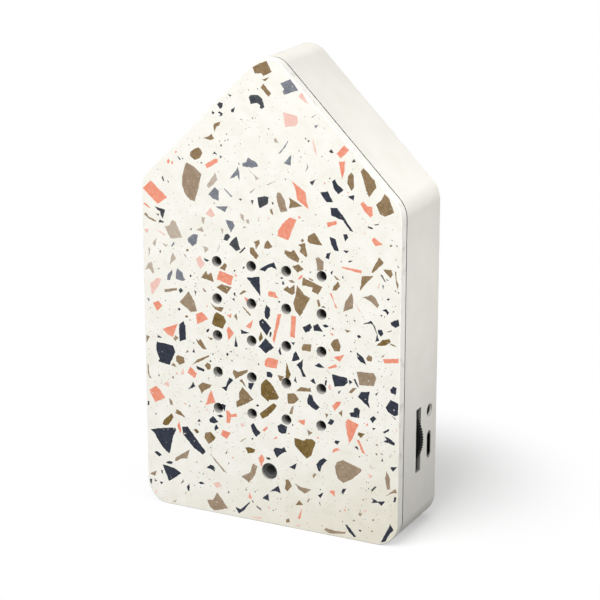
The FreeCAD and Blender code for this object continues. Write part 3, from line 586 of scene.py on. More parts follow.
    "navy": """
        24.8,132.7 26,133.7 26.9,132 29.3,130.2 27.3,128.4 25.5,130.4
        20.3,128.3 23.2,129.1 25.3,125.4 22.8,125.1 21.3,126.8
        30.9,128.1 33.4,128.9 33.2,126.8
        24.2,123.3 26.9,123.5 29.4,120.6 33.2,115.6 31.7,116 29.2,119.3 26.9,119.8 24.6,120.6
        -11.5,73.7 -10.3,73.3 -7.8,72.8 -11.2,71.9
        -14.3,87 -13.5,87.4 -13.5,86.2 -12.4,85.8 -13.9,86
        -15,84.7 -13.9,85.1 -13.8,83.9
        -8.9,93.5 -3.7,94.5 -3.3,87.3 -6.2,90.5
        -3.7,97.2 -2,98.5 -0.2,99.6 2.1,100.7 3.3,98 1.2,98.8 -0.5,98 -1.6,96.7
        -1.8,81.6 -1.1,84.5 0.5,83.3 0.4,80.3 -0.3,78.9 -1.4,79.5
        -3.9,77.8 -2.4,79.1 1,76 0.2,74.9 -0.7,72.8 -2.6,74.9 -3.7,76.2
        -13.5,70.9 -12.7,66.8 -14.1,66.8
        -25.7,70.6 -25.4,71.6 -24.3,72.1 -24.6,71 -25.2,70.5
        -37,71.8 -35.1,73.5 -34.3,71.6 -34.2,66.4 -36.9,65.3 -37.1,68.7
        -46.6,66.8 -44.3,65.7 -46.6,65.3 -46,66
        -46.9,62.4 -46.6,63.9 -39.7,63.3 -38.8,60.8 -41.4,55.4 -46.2,56.2 -45.5,57.2 -46.8,60.3
        -30.1,56.9 -26.6,56 -26.8,55.1 -29.7,55.7
        -31.6,62 -31,63.5 -30.4,61.8
        -31.4,65.8 -30.7,65.8 -30.8,65.1
        -33.7,47 -32,49.3 -31.6,50.5 -30.5,48.7
        -19.9,43.3 -19.3,43.9 -17.8,43.5 -18.5,41
        -19.6,50.1 -17.8,50.8 -16.4,54.5 -14.7,53.7 -16.8,51.2 -17.6,48.9
        -8.5,53.7 -6,53.9 -7.4,51 -8.5,51.8
        -24.9,36.8 -23.3,38.5 -21,36.4 -22.8,35.5 -24.7,35.8
        -21.6,38.9 -19.9,39.5 -18.9,38.9 -20.3,38.2
        -7.6,37.4 -6.6,38.5 -4.9,36.2 -3.5,35.1 -5.3,33.2 -6.8,34.9
        -51.1,39.8 -50.4,39.9 -50.4,38.2 -51.1,38.3
        -1,59.1 0.6,59.2 1.5,58.4 1.2,57.2 -0.9,57.2
        -4.3,68.2 -3,69.5 -1.4,71.8 2.1,68.7 0.2,67.3 -1.2,66
        3.8,67.8 4.6,69.5 5.1,66.4 4.4,66.4
        8.8,71.8 10.6,72 9.8,70.8
        9.2,64.7 9.9,67.6 10.8,68.7 12.4,65.8 11,65.1
        11,63.5 13.8,66.2 13.3,62.6 14.9,59.5 13.5,59.5 12.7,61.8
        18.3,64.3 20,65.7 22.4,64.1 20,63.9
        10,57.4 10.6,59.3 11.3,56.6
        16.5,58.3 17.9,59.8 18.8,57.4
        15.4,51.2 16,53.3 17.3,53 17.9,51.2 20.4,48.9 18.8,47.5 15.6,49.3
        22.3,57.6 22.5,59.5 23.3,59.7 22.9,57.4
        25.1,62.2 31,61.8 31.5,60.1 30,58.5 26.3,57.6 25.6,59.9
        31.7,61.2 33.3,60.5 32.1,59.3
        33.5,61.8 34.4,61.8 35.8,58.9 35.2,59
        35.4,55.3 36.7,57.4 40,58 39.4,54.1 40.2,51.6
        34.8,72 37.5,70.1 38.5,67.8 36.3,68.5 35,69.9
        47.8,59.9 49,61.4 50.4,61 50,58.3 48.3,58.7
        46.2,53 48.1,56.3 51.1,55.3 51,51 49.6,50.3 47.1,51.6
        48.3,50.6 50.2,49.5 50,49
        32.1,48.7 33.8,49.3 34,50.8 35.2,51.3 36.3,50.3 36,47.4 32.7,47.4
        40.1,47.8 41.5,49.1 42.7,48.3 41.3,46.3
        45.2,43.7 47.7,45.3 47.7,44.5 45.8,43.2
        45.8,42.2 47.9,41.6 50,40.3 49.8,39.3 45.6,40.1 46.8,40.9
        23.5,43.3 24.6,45.3 26.2,44.7 25,42.8
        3.3,38.9 4.9,40.1 7.3,39.3 6.7,36.6 5.2,36.2 3.7,37
        26.2,36.4 26.7,37.4 28.5,37.4 27.5,35.8
        42.1,57.4 43.5,58.5 42.5,56.8
        27.5,56 28.8,56.8 27.9,55.1
        41,44.5 42.5,44.7 41.7,43.7
        24,112.8 26.3,112.2 27.6,108 26,108 24.6,110.1
        22.5,104.9 22.9,106.6 24.5,107.2 23.8,104.5
        29.2,114.3 30.8,114.5 31.2,113.3 30,111.8
        29.2,108.5 31.5,108.7 30.6,107.6
        31.3,104.3 31.5,105.1 33.5,105.5 32.3,104.7
        43.5,101.6 44.2,101.6 45.8,99.1 45.2,99.3
        45.6,100.5 46.9,99.7 46.2,99.8
        44.4,98 45,97.8 44.7,96.2
        44.4,88.7 46,89.5 47.1,88.3 46.5,87.2 45.8,88.3
        47.6,84.7 50.6,86.4 51.1,84.1 49.6,83 48.1,83.7
        37.1,82.6 40.2,84.3 41.7,82.6 42.9,78.7 43.5,77.4 41.9,76.8 42.5,79.5 41,82.8 40,83.3
        42.9,81.4 44.4,81.6 45,80.1 44,79 43.1,80
        13.5,78 16.5,79.9 17.3,78.5 16.3,77 14.6,76.2
        17.7,79.3 19.4,80.3 21.5,77.6 17.9,77.4
        21.3,79.9 22.5,80.5 24,79.9 22.5,79.2
        34.8,78 35.6,78.5 36.6,77.8 35.5,77.1
        20.8,86.6 21.7,87.2 22.8,86.4
        4.6,95.2 5.3,95.7 5.9,95.2 5.1,94.8
        5.3,93.6 5.9,94.3 6.3,93 5.5,92.7
        2.5,93.3 4.1,93 3.2,92.8
        24.4,99.9 25.4,100.8 25,98.9
        28.9,98.6 29.3,99.5 29.5,97.9
        0.2,72.6 0.4,74.5 1.2,74.4 0.7,72.4
        -50.1,28.7 -44.9,30.1 -39.5,31.1 -39,30.4 -40.3,27.8 -41.7,21.6 -42.3,20.3 \
            -45.1,22.6 -46.8,24.9 -48,27
        -36.5,32 -34.1,32.5 -26.6,23.7 -27.8,22.3 -31.6,24.5 -36.2,29.1
        -22.8,33.9 -22,35.3 -21,33.9 -22.6,32.6
        -48.7,19.7 -47.4,20.4 -45.3,19.1 -46.6,18.3
        -43.7,16.6 -42,17.4 -40.6,17 -41.4,16.1 -43,16.1
        -45.1,15.5 -40.3,14.9 -37.1,13.3 -41.4,9.9 -42.6,9.2 -44.3,13.3
        -50.8,8.7 -49.9,8.7 -50.1,6.6 -50.6,7
        -48.9,9.1 -47.6,8.3 -48.6,7.9
        -46.6,8.3 -44.9,8.3 -46,7.2
        -45.8,13.3 -45.2,13 -45.1,11.6 -45.7,11.9
        -34.9,8.3 -33.7,9.7 -33.7,6.8 -34.5,6.8
        -29.9,10.8 -28.7,11.5 -27.1,10.8 -28.7,10.3
        -26.3,17.4 -24.7,19 -23.3,18.7 -22.6,17.6 -23,16.4 -24.6,17.2
        -18.5,24.3 -17.4,26 -17.8,24.5
        -17.4,20.2 -16.8,21.6 -16.7,20.6
        -14.3,3.9 -12,3.5 -8.3,7.2 -8.2,6.6 -10.3,3.7 -12.8,1.5
        -3,9.5 -0.5,11.8 -0.1,8.9
        -5.8,6.2 -3.7,5.4 -3.3,4.3 -5.3,5.5
        -29.9,35.1 -29.1,36.4 -28.5,35.3
        -1.5,26 0,26.1 0.6,25.4 -1,25.2
        1.6,29.3 2.3,30.3 5.2,30.5 6,31.3 7.1,29.5 5.4,28.7 3.1,26.5
        8.1,23.7 11.3,26 10.4,23.2
        19,26.8 20.4,28.7 22.1,29.8 23.3,29.1 21.3,26.6 20.6,24.1 19.9,24.5
        34.2,36.2 35.2,36.6 35.9,35.1
        44.6,32.4 45.2,33.9 45.6,32.6
        44.4,35.6 45.6,35.1 44.8,35
        47.9,34.4 48.7,36.1 48.4,34.8
        48.3,30.8 51,31.5 49.4,29.3
        40.8,20.8 42.5,22.6 43,22.2 41.5,20.3
        41,17.8 42.5,17.4 43.6,16.8 46.5,17.4 45.2,15.4 43.8,16.4 41,15.8 41.8,16.8
        49.6,17.8 50.2,19.9 50.9,19.7 50.4,17.7
        29.2,18 29.8,19.3 31.2,19.6 29.8,16.8
        0,12.6 2.1,14.3 3.7,15.7 4.6,12.8 2.5,13.3
        19.7,14.9 21.9,16.3 20.8,13.9
        20.2,12 20.6,12.4 21,10.8
        30.6,5.5 31.7,5.5 35.2,1.6 34.4,1.1 32.3,2.8
        45,1.2 46,3.7 47.9,7.2 48.5,9.3 49.9,6.8 48.3,4.9 46.9,2
        -17.6,63.3 -17,64 -16.4,63.4 -16.9,62.6
        -24.5,59.6 -24,60.1 -23.6,59.5 -24.1,59.2
        -28.7,43.2 -28.2,43.7 -27.9,43
        -33.5,41.1 -32.8,40.9 -33,40.2
        -5.5,45.5 -4.7,46 -4,45.5 -4.8,45
        -9.8,66.4 -9.1,66.9 -8.7,66.5
        -17.5,9 -17.1,9.9 -16.7,9.3 -17.2,8.8
        -7.4,8 -6.8,7.8 -6.6,6.9 -7.2,7.2
        -37.6,77.8 -36.8,78.3 -36.2,77.8 -36.8,77.1
        -32.3,91.2 -31.6,91.8 -31.5,90.8 -32,90.5
        49.2,112.8 49.9,112.9 50,112.2
        49.8,105.8 50.9,104.8 50.2,105
        48.9,96.5 49.6,96.7 49.7,96.1
        50.2,96.3 51,96 50.5,95.6""",
}
break_step, break_depth = 0.7, 0.11
dice = random.Random(11)


def broken(corners, step, ragged):
    """The outline with small random steps between its corners, all in mm."""
    points = []
    for here, ahead in zip(corners, corners[1:] + corners[:1]):
        points.append(here)
        count = int((ahead - here).length / step)
        for k in range(1, count):
            shake = Vector((dice.uniform(-ragged, ragged), dice.uniform(-ragged, ragged)))
            points.append(here.lerp(ahead, k / count) + shake)
    return points


chips, taken = [], []
for tone, lines in large_chips.items():
    for line in lines.strip().splitlines():
        corners = [Vector([float(value) for value in pair.split(",")]) for pair in line.split()]
        if sum(a.cross(b) for a, b in zip(corners, corners[1:] + corners[:1])) < 0:
            corners.reverse()
        middle = sum(corners, Vector((0, 0))) / len(corners)
        chips.append((tone, broken(corners, break_step, break_depth)))
        taken.append((middle, max((corner - middle).length for corner in corners)))
print("larger chips", len(chips))

# %% [markdown]
# The crumbs between the chips are too many to draw. The same generator strews them: the smaller, the more
# of them, more in the middle of the panel than at its top, and never on a chip that is already there.

# %% Crumbs
crumb_sizes = ((65, 0.9, 1.5), (240, 0.5, 0.9), (800, 0.22, 0.5))
crumb_tones = ["navy"] * 8 + ["brown"] * 4 + ["taupe"] * 3 + ["coral"] * 3 + ["olive", "rose", "slate"]
strewn_across, strewn_low, strewn_high, roof_line = 50.3, 1.2, 173, 174.5
thickest_height, thinning = 65, 50

for count, smallest, largest in crumb_sizes:
    placed = 0
    while placed < count:
        middle = Vector((dice.uniform(-strewn_across, strewn_across), dice.uniform(strewn_low, strewn_high)))
        likely = 0.3 + 0.7 * math.exp(-((middle.y - thickest_height) / thinning) ** 2)
        if middle.y > roof_line - abs(middle.x) or dice.random() > likely:
            continue
        size = dice.uniform(smallest, largest)
        if any((middle - other).length < reach + size * 0.5 for other, reach in taken):
            continue
        sides = dice.randint(4, 6)
        narrow, slant = dice.uniform(0.4, 0.9), Matrix.Rotation(dice.uniform(0, math.tau), 2)
        ring = [math.tau * (k + dice.uniform(-0.3, 0.3)) / sides for k in range(sides)]
        reach = [size * 0.5 * dice.uniform(0.6, 1.0) for turn in ring]
        corners = [middle + slant @ Vector((r * math.cos(turn), narrow * r * math.sin(turn)))
                   for r, turn in zip(reach, ring)]
        chips.append((dice.choice(crumb_tones) if size > 0.5 else "charcoal", corners))
        taken.append((middle, size * 0.5))
        placed += 1
    print("crumbs", placed, "up to", largest, "mm")

# %% [markdown]
# ## The panel's faces
# The print could be an image or a texture, but then its chips would blur close up. Here the front face
# itself is divided: outline, holes and chips go into one flat triangulation that keeps all their edges,
# and each triangle remembers which of them it lies in. So every chip is a field of faces with its own
# ink, cut cleanly by the holes. A narrow rounding runs round the panel, and the sides and the back close
# it.

# %% Divide the front and close the panel
panel_low, panel_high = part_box("front_panel")
panel_front, panel_back = panel_low.y / mm, panel_high.y / mm
edge_round, hole_round = 0.3, 0.1
hole_columns, hole_rows, hole_pitch, hole_radius, hole_middle = 4, 5, 14.0, 1.9, 70.0
eye_height, eye_radius = 20.7, 3.1
hole_steps = 40


def circle(across, height, radius):
    turns = [math.tau * k / hole_steps for k in range(hole_steps)]
    return [Vector((across + radius * math.cos(t), height + radius * math.sin(t))) for t in turns]


columns = [(i - (hole_columns - 1) / 2) * hole_pitch for i in range(hole_columns)]
rows = [hole_middle + (j - (hole_rows - 1) / 2) * hole_pitch for j in range(hole_rows)]
hole_places = [(across, height) for height in rows for across in columns]
openings = [(*place, hole_radius) for place in hole_places] + [(0.0, eye_height, eye_radius)]


def divided(outline, grown, fields):
    """Triangles inside the outline and outside the openings, each with the last field that covers it."""
    loops = [outline] + [circle(x, z, r + grown) for x, z, r in openings]
    loops += [points for tone, points in fields]
    points, faces = [], []
    for loop in loops:
        faces.append(list(range(len(points), len(points) + len(loop))))
        points += loop
    flat, edges, triangles, v_from, e_from, f_from = delaunay_2d_cdt(points, [], faces, 1, 1e-5)
    first = 1 + len(openings)
    kept = []
    for triangle, inside in zip(triangles, f_from):
        if 0 in inside and not any(1 <= i < first for i in inside):
            top = max(inside)
            kept.append((triangle, fields[top - first][0] if top >= first else "ground"))
    return flat, kept


panel_mesh = bpy.data.meshes.new("front_panel_printed")
ink_order = list(inks)
for name in ink_order:
    panel_mesh.materials.append(inks[name])
panel_mesh.materials.append(board_edge)
panel_mesh.materials.append(drilled_wall)
edge_index = len(ink_order)
wall_index = edge_index + 1

sheet = bmesh.new()
flat, kept = divided(house_loop(edge_round), hole_round, chips)
corners = [sheet.verts.new((p.x * mm, panel_front * mm, p.y * mm)) for p in flat]
for triangle, tone in kept:
    face = sheet.faces.new([corners[i] for i in triangle])
    face.material_index = ink_order.index(tone)
flat, kept = divided(house_loop(0), 0, [])
corners = [sheet.verts.new((p.x * mm, panel_back * mm, p.y * mm)) for p in flat]
for triangle, tone in kept:
    face = sheet.faces.new([corners[i] for i in reversed(triangle)])
    face.material_index = edge_index


def quarter(radius):
    """Steps (inwards, deep) of a rounded edge, from the face to the side."""
    turns = [math.radians(30 * k) for k in range(4)]
    return [(radius * (1 - math.sin(turn)), radius * (1 - math.cos(turn))) for turn in turns]


loops = [[(p, panel_front + deep) for p in house_loop(inset)] for inset, deep in quarter(edge_round)]
loops.append([(p, panel_back) for p in house_loop(0)])
rows = [[sheet.verts.new((p.x * mm, y * mm, p.y * mm)) for p, y in loop] for loop in loops]
for level, (near, far) in enumerate(zip(rows, rows[1:])):
    for i in range(len(near)):
        face = sheet.faces.new([near[i - 1], near[i], far[i], far[i - 1]])
        face.material_index = 0 if level < 2 else edge_index
        face.smooth = level < 3
print("front and back faces", len(sheet.faces))

# %% [markdown]
# ## Walls of the sound holes
# Twenty holes are drilled in four columns and five rows. A wall is a turned shape: a profile of a few
# points, carried round an axis. Spinning it in code gives every round piece of the box, so one function
# is enough. One wall is made here, and the larger one of the motion eye.

# %% One hole's wall
def turned(profile, steps, axis, middle):
    """A bmesh of profile points (radius, along) in mm turned about x or y through a middle point in mm."""
    mesh = bmesh.new()
    rows = []
    for radius, along in profile:
        row = []
        for k in range(steps if radius > 1e-9 else 1):
            turn = math.tau * k / steps
            a, b = radius * math.cos(turn), radius * math.sin(turn)
            point = Vector((a, along, b)) if axis == "y" else Vector((along, a, b))
            row.append(mesh.verts.new((point + Vector(middle)) * mm))
        rows.append(row)
    for near, far in zip(rows, rows[1:]):
        for k in range(steps):
            corners = [near[k - 1 if len(near) > 1 else 0], near[k if len(near) > 1 else 0],
                       far[k if len(far) > 1 else 0], far[k - 1 if len(far) > 1 else 0]]
            mesh.faces.new(list(dict.fromkeys(corners)))
    bmesh.ops.recalc_face_normals(mesh, faces=mesh.faces)
    for face in mesh.faces:
        face.smooth = True
    return mesh


def make_object(mesh, name, materials):
    """A new object in the scene from a bmesh or a mesh, with its materials."""
    if isinstance(mesh, bmesh.types.BMesh):
        data = bpy.data.meshes.new(name)
        mesh.to_mesh(data)
        mesh.free()
        mesh = data
    mesh.name = name
    mesh.materials.clear()
    for material in materials:
        mesh.materials.append(material)
    piece = bpy.data.objects.new(name, mesh)
    bpy.context.scene.collection.objects.link(piece)
    return piece


def hole_profile(radius):
    rim = [(radius + out, panel_front + deep) for out, deep in quarter(hole_round)]
    return rim + [(radius, panel_back)]


one_wall = turned(hole_profile(hole_radius), hole_steps, "y", (0, 0, 0))
one_wall = make_object(one_wall, "hole_wall", [drilled_wall])
eye_wall = turned(hole_profile(eye_radius), hole_steps, "y", (0, 0, eye_height))
print("faces in one wall", len(one_wall.data.polygons))

# %% [markdown]
# Drilling twenty times by hand would be slow to change, so a Geometry Nodes tree repeats the wall on a
# grid. Its inputs are the numbers of columns and rows, the pitch, the height of the grid's middle and the
# wall to repeat. Realize Instances turns the copies into real faces, and Set Material gives them their
# finish. Every tree here ends in that way.

# %% Repeat the wall on a grid
def new_tree(name, inputs):
    """A geometry tree with named inputs, and a dictionary of what each input gives."""
    tree = bpy.data.node_groups.new(name, "GeometryNodeTree")
    for label, kind, value in inputs:
        socket = tree.interface.new_socket(label, in_out="INPUT", socket_type=kind)
        if value is not None:
            socket.default_value = value
    tree.interface.new_socket("Geometry", in_out="OUTPUT", socket_type="NodeSocketGeometry")
    given = add(tree, "NodeGroupInput")
    return tree, {label: given.outputs[label] for label, kind, value in inputs}


def grown(tree, name, material, values):
    """Runs a tree on an empty object and gives the plain mesh that it makes."""
    piece = make_object(bmesh.new(), name, [material])
    modifier = piece.modifiers.new("nodes", "NODES")
    modifier.node_group = tree
    for item in tree.interface.items_tree:
        if item.in_out == "INPUT" and item.name in values:
            modifier[item.identifier] = values[item.name]
    seen = piece.evaluated_get(bpy.context.evaluated_depsgraph_get())
    made = bpy.data.meshes.new_from_object(seen)
    bpy.data.objects.remove(piece)
    return made


def end_tree(tree, copies, finish):
    """The copies become real faces with one finish, and that is what the tree gives."""
    real = add(tree, "GeometryNodeRealizeInstances", {"Geometry": copies.outputs[0]})
    inked = add(tree, "GeometryNodeSetMaterial", {"Geometry": real.outputs[0], "Material": finish})
    add(tree, "NodeGroupOutput", {"Geometry": inked.outputs[0]})


tree, given = new_tree("perforation", [
    ("Columns", "NodeSocketInt", hole_columns), ("Rows", "NodeSocketInt", hole_rows),
    ("Pitch", "NodeSocketFloat", hole_pitch * mm), ("Height", "NodeSocketFloat", hole_middle * mm),
    ("Wall", "NodeSocketObject", None), ("Finish", "NodeSocketMaterial", None)])
sides = []
for label in ("Columns", "Rows"):
    gaps = add(tree, "ShaderNodeMath", {0: given[label], 1: 1.0}, operation="SUBTRACT")
    sides.append(add(tree, "ShaderNodeMath", {0: gaps.outputs[0], 1: given["Pitch"]}, operation="MULTIPLY"))
grid = add(tree, "GeometryNodeMeshGrid", {"Size X": sides[0].outputs[0], "Size Y": sides[1].outputs[0],
                                          "Vertices X": given["Columns"], "Vertices Y": given["Rows"]})
lift = add(tree, "ShaderNodeCombineXYZ", {"Z": given["Height"]})
upright = add(tree, "GeometryNodeTransform", {"Geometry": grid.outputs["Mesh"],
                                              "Translation": lift.outputs[0],
                                              "Rotation": (math.pi / 2, 0, 0)})
wall = add(tree, "GeometryNodeObjectInfo", {"Object": given["Wall"], "As Instance": True})
copies = add(tree, "GeometryNodeInstanceOnPoints", {"Points": upright.outputs[0],
                                                    "Instance": wall.outputs["Geometry"]})
end_tree(tree, copies, given["Finish"])
hole_walls = grown(tree, "hole_walls", drilled_wall, {
    "Columns": hole_columns, "Rows": hole_rows, "Pitch": hole_pitch * mm, "Height": hole_middle * mm,
    "Wall": one_wall, "Finish": drilled_wall})
bpy.data.objects.remove(one_wall)
print("faces in all walls", len(hole_walls.polygons))

# %% [markdown]
# The walls were made apart from the print, so their corners only lie at the same places as the rims of
# its holes. All go into one mesh, and corners that meet are merged.

# %% Join the walls to the panel
merge_reach = 2e-7
eye_side = bpy.data.meshes.new("eye_wall")
eye_wall.to_mesh(eye_side)
eye_wall.free()
for extra in (hole_walls, eye_side):
    before = len(sheet.faces)
    sheet.from_mesh(extra)
    sheet.faces.ensure_lookup_table()
    for face in sheet.faces[before:]:
        face.material_index = wall_index
        face.smooth = True
bmesh.ops.remove_doubles(sheet, verts=sheet.verts, dist=merge_reach)
print("open edges", sum(1 for edge in sheet.edges if edge.is_boundary))

# %% [markdown]
# A chip that runs over the panel's edge or into a hole puts corners of its own on the border of the
# print. The strip next to it gets the same corners, so that the skin is closed. Then all faces are turned
# outwards.

# %% Close the seams
seam_reach = 1e-6


def stitch(mesh, reach):
    """Splits each open edge where other open corners lie on it, and joins what meets."""
    borders = [edge for edge in mesh.edges if edge.is_boundary]
    spots = [corner.co.copy() for corner in mesh.verts if corner.is_boundary]
    for edge in borders:
        corner = edge.verts[0]
        start, along = corner.co.copy(), edge.verts[1].co - corner.co
        shares = [(spot - start).dot(along) / along.length_squared for spot in spots]
        touching = [share for share, spot in zip(shares, spots)
                    if (start + along * share - spot).length < reach]
        done = 0.0
        for share in sorted(touching):
            if (share - done) * along.length > reach and (1 - share) * along.length > reach:
                corner = bmesh.utils.edge_split(edge, corner, (share - done) / (1 - done))[1]
                done = share
    bmesh.ops.remove_doubles(mesh, verts=[corner for corner in mesh.verts if corner.is_boundary], dist=reach)


stitch(sheet, seam_reach)
bmesh.ops.recalc_face_normals(sheet, faces=sheet.faces)
open_edges = sum(1 for edge in sheet.edges if len(edge.link_faces) != 2)
sheet.to_mesh(panel_mesh)
sheet.free()
front_panel = bpy.data.objects.new("front_panel_printed", panel_mesh)
bpy.context.scene.collection.objects.link(front_panel)
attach(front_panel, "case")
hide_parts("front_panel")
print("panel faces", len(panel_mesh.polygons), "open edges", open_edges)

# %% [markdown]
# ## Case and rear cover
# The moulded case and its cover have the right shape already, but a construction model's edges are
# perfectly sharp and its round corners are made of flat strips. A copy gets its loose triangles merged,
# flat areas made into single faces, a narrow bevel along each sharp edge, and smooth shading, so the
# edges catch the light as moulded ones do. Weighted normals let the large faces decide the shading, so
# they stay flat up to the bevel.

# %% Soft-edged copies of moulded pieces
bevel_mm = 0.25
flat_angle, sharp_angle, shading_angle = math.radians(0.6), math.radians(25), math.radians(35)


def soft_copy(node, width_mm, materials, name):
    """A copy of a moulded piece with narrow round edges, which stands for it on the case."""
    mesh = bmesh.new()
    mesh.from_mesh(frame["nodes"][node].data)
    bmesh.ops.remove_doubles(mesh, verts=mesh.verts, dist=2e-6)
    bmesh.ops.dissolve_limit(mesh, angle_limit=flat_angle, verts=mesh.verts, edges=mesh.edges)
    sharp = [e for e in mesh.edges if len(e.link_faces) == 2 and e.calc_face_angle(0) > sharp_angle]
    bmesh.ops.bevel(mesh, geom=sharp, offset=width_mm * mm, segments=2, profile=0.5, affect="EDGES",
                    clamp_overlap=True, loop_slide=True)
    for face in mesh.faces:
        face.smooth = True
    piece = make_object(mesh, name, materials)
    piece.data.set_sharp_from_angle(angle=shading_angle)
    weights = piece.modifiers.new("weights", "WEIGHTED_NORMAL")
    weights.mode, weights.weight, weights.keep_sharp = "FACE_AREA", 100, True
    piece.data = bpy.data.meshes.new_from_object(piece.evaluated_get(bpy.context.evaluated_depsgraph_get()))
    piece.modifiers.clear()
    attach(piece, "case")
    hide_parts(node)
    print(name, "faces", len(piece.data.polygons))
    return piece


case_shell = soft_copy("housing", bevel_mm, [case_plastic, inner_shade_plastic, wall_shade_plastic], "case_shell")
soft_copy("rear_cover", bevel_mm, [case_plastic], "back_cover")

# %% [markdown]
# The black painted shade covers each face that looks into the case, and the graded painted shade each
# face across the wall's thickness. How deep a face lies is read from house outlines that are moved
# inwards: its middle is on the outer skin, in the wall, or behind the wall. The rear rim stays bare, and so
# does the lamp's hole, apart from its rounded rim, which gets the black painted shade as a dark outline.

# %% Paint shade on the inside
def lies_in(spot, loop):
    """True if a point is inside a convex anticlockwise loop."""
    return all((b - a).cross(spot - a) > 0 for a, b in zip(loop, loop[1:] + loop[:1]))


# Slots: bare plastic, the black painted shade, and the painted shade graded across the wall.
bare, shaded, half_shaded = 0, 1, 2
skin_loop, inner_loop = house_loop(0.5), house_loop(1.9)
rim_back, rim_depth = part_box("housing")[1].y / mm, 1.5
lamp_reach = 2.9
lamp = sum(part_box("indicator_lens"), Vector()) / 2 / mm
counts = [0, 0, 0]
for face in case_shell.data.polygons:
    x, y, z = face.center / mm
    under_skin = lies_in(Vector((x, z)), skin_loop)
    # Near the lamp the hole's wall stays bare, and its rounded rim gets the black painted shade as a dark
    # outline.
    if x > 0 and math.hypot(y - lamp.y, z - lamp.z) < lamp_reach:
        face.material_index = bare if under_skin else shaded
    # Under the skin: black painted shade behind the wall, graded painted shade across it.
    elif under_skin and y < rim_back - rim_depth:
        face.material_index = shaded if lies_in(Vector((x, z)), inner_loop) else half_shaded
    counts[face.material_index] += 1
print("bare, painted and misted faces", counts)

# %% [markdown]
# ## Black moulded plastics
# The volume wheel is black ABS with a satin surface. The eye's ring is a dark grey plastic, and the
# lamp's lens is smoked acrylic. One recipe fits all three, with other tones and grains.

# %% Black satin ABS, dark ring and smoked acrylic
# A deep black with a faint sheen on the ridges.
wheel_plastic, tree, surface = new_material("abs_black_satin", Roughness=0.55, IOR=1.5,
                                            Specular_IOR_Level=0.09)
place = mottle(tree, surface, "#050506", "#0b0b0c", 2.0)
grain(tree, surface, place, 0.3, 0.01)

# A dark grey that still shows the ring's rounding in its hole.
ring_plastic, tree, surface = new_material("abs_dark_grey_moulded", Roughness=0.45, IOR=1.53)
place = mottle(tree, surface, "#3a3b3a", "#444543", 1.5)
grain(tree, surface, place, 0.25, 0.008)

# Nearly black, with very little gloss, so the window reads as a dark dot.
smoked_acrylic, tree, surface = new_material("acrylic_smoked_polished", Roughness=0.3, IOR=1.49,
                                             Specular_IOR_Level=0.03)
mottle(tree, surface, "#060607", "#0a0a0b", 2.0)
print("made", wheel_plastic.name, ring_plastic.name, smoked_acrylic.name)

# %% [markdown]
# ## Volume wheel
# The wheel is a thumbwheel with fine ridges all round. Its disc is turned like the other round pieces,
# with rounded edges. A ridge is a short bar with a rounded crown, sunk a little into the disc.

# %% Disc and one ridge
wheel_low, wheel_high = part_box("volume_wheel")
wheel_middle = (wheel_low + wheel_high) / 2 / mm
wheel_radius, ridge_height, ridge_count = 15.0, 0.35, 90
half_thick = (wheel_high.y - wheel_low.y) / 2 / mm
core, edge_start, edge_middle = wheel_radius - ridge_height, 0.5, 0.15
side = [(0, half_thick), (core - edge_start, half_thick), (core - edge_middle, half_thick - edge_middle),
        (core, half_thick - edge_start)]
disc = turned([(radius, -along) for radius, along in side] + side[::-1], 96, "y", wheel_middle)

bar = bmesh.new()
foot, crown, sunk, length = 0.44, 0.3, 0.3, half_thick - 0.3
shoulder = ridge_height - 0.1
section = [(-sunk, -foot), (shoulder, -crown), (ridge_height, 0), (shoulder, crown), (-sunk, foot)]
ends = [[bar.verts.new((out * mm, y * mm, wide * mm)) for out, wide in section] for y in (-length, length)]
for i in range(len(section)):
    bar.faces.new([ends[0][i - 1], ends[0][i], ends[1][i], ends[1][i - 1]])
bar.faces.new(ends[0])
bar.faces.new(list(reversed(ends[1])))
bmesh.ops.recalc_face_normals(bar, faces=bar.faces)
one_ridge = make_object(bar, "ridge", [wheel_plastic])
print("faces in one ridge", len(one_ridge.data.polygons))

# %% [markdown]
# The ridges repeat, so a Geometry Nodes tree puts one at each point of a circle and turns it outwards.
# The tree's inputs are the number of ridges, the radius, the ridge to repeat and the middle of the wheel.

# %% Ring of ridges
tree, given = new_tree("knurl", [
    ("Ridges", "NodeSocketInt", ridge_count), ("Radius", "NodeSocketFloat", core * mm),
    ("Ridge", "NodeSocketObject", None), ("Middle", "NodeSocketVector", None),
    ("Finish", "NodeSocketMaterial", None)])
ring = add(tree, "GeometryNodeMeshCircle", {"Vertices": given["Ridges"], "Radius": given["Radius"]})
stand = add(tree, "GeometryNodeTransform", {"Geometry": ring.outputs[0], "Rotation": (math.pi / 2, 0, 0)})
spot = add(tree, "GeometryNodeInputPosition")
outward = add(tree, "FunctionNodeAlignRotationToVector", {"Vector": spot.outputs[0]}, axis="X",
              pivot_axis="Y")
shape = add(tree, "GeometryNodeObjectInfo", {"Object": given["Ridge"], "As Instance": True})
copies = add(tree, "GeometryNodeInstanceOnPoints", {"Points": stand.outputs[0],
                                                    "Instance": shape.outputs["Geometry"],
                                                    "Rotation": outward.outputs[0]})
moved = add(tree, "GeometryNodeTransform", {"Geometry": copies.outputs[0], "Translation": given["Middle"]})
end_tree(tree, moved, given["Finish"])
ridges = grown(tree, "ridges", wheel_plastic, {"Ridges": ridge_count, "Radius": core * mm, "Ridge": one_ridge,
                                               "Middle": wheel_middle * mm, "Finish": wheel_plastic})
bpy.data.objects.remove(one_ridge)
disc.from_mesh(ridges)
volume_wheel = make_object(disc, "volume_wheel_knurled", [wheel_plastic])
volume_wheel.data.set_sharp_from_angle(angle=math.radians(40))
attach(volume_wheel, "volume_control")
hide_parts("volume_wheel")
print("wheel faces", len(volume_wheel.data.polygons))

# %% [markdown]
# ## Motion eye and lamp lens
# Both are small turned pieces. The eye is a ring with a funnel down to a dark opening, set back in the
# panel. The lens is a low dome in the right wall. Their profiles are a few points each, with the rounding
# drawn in.

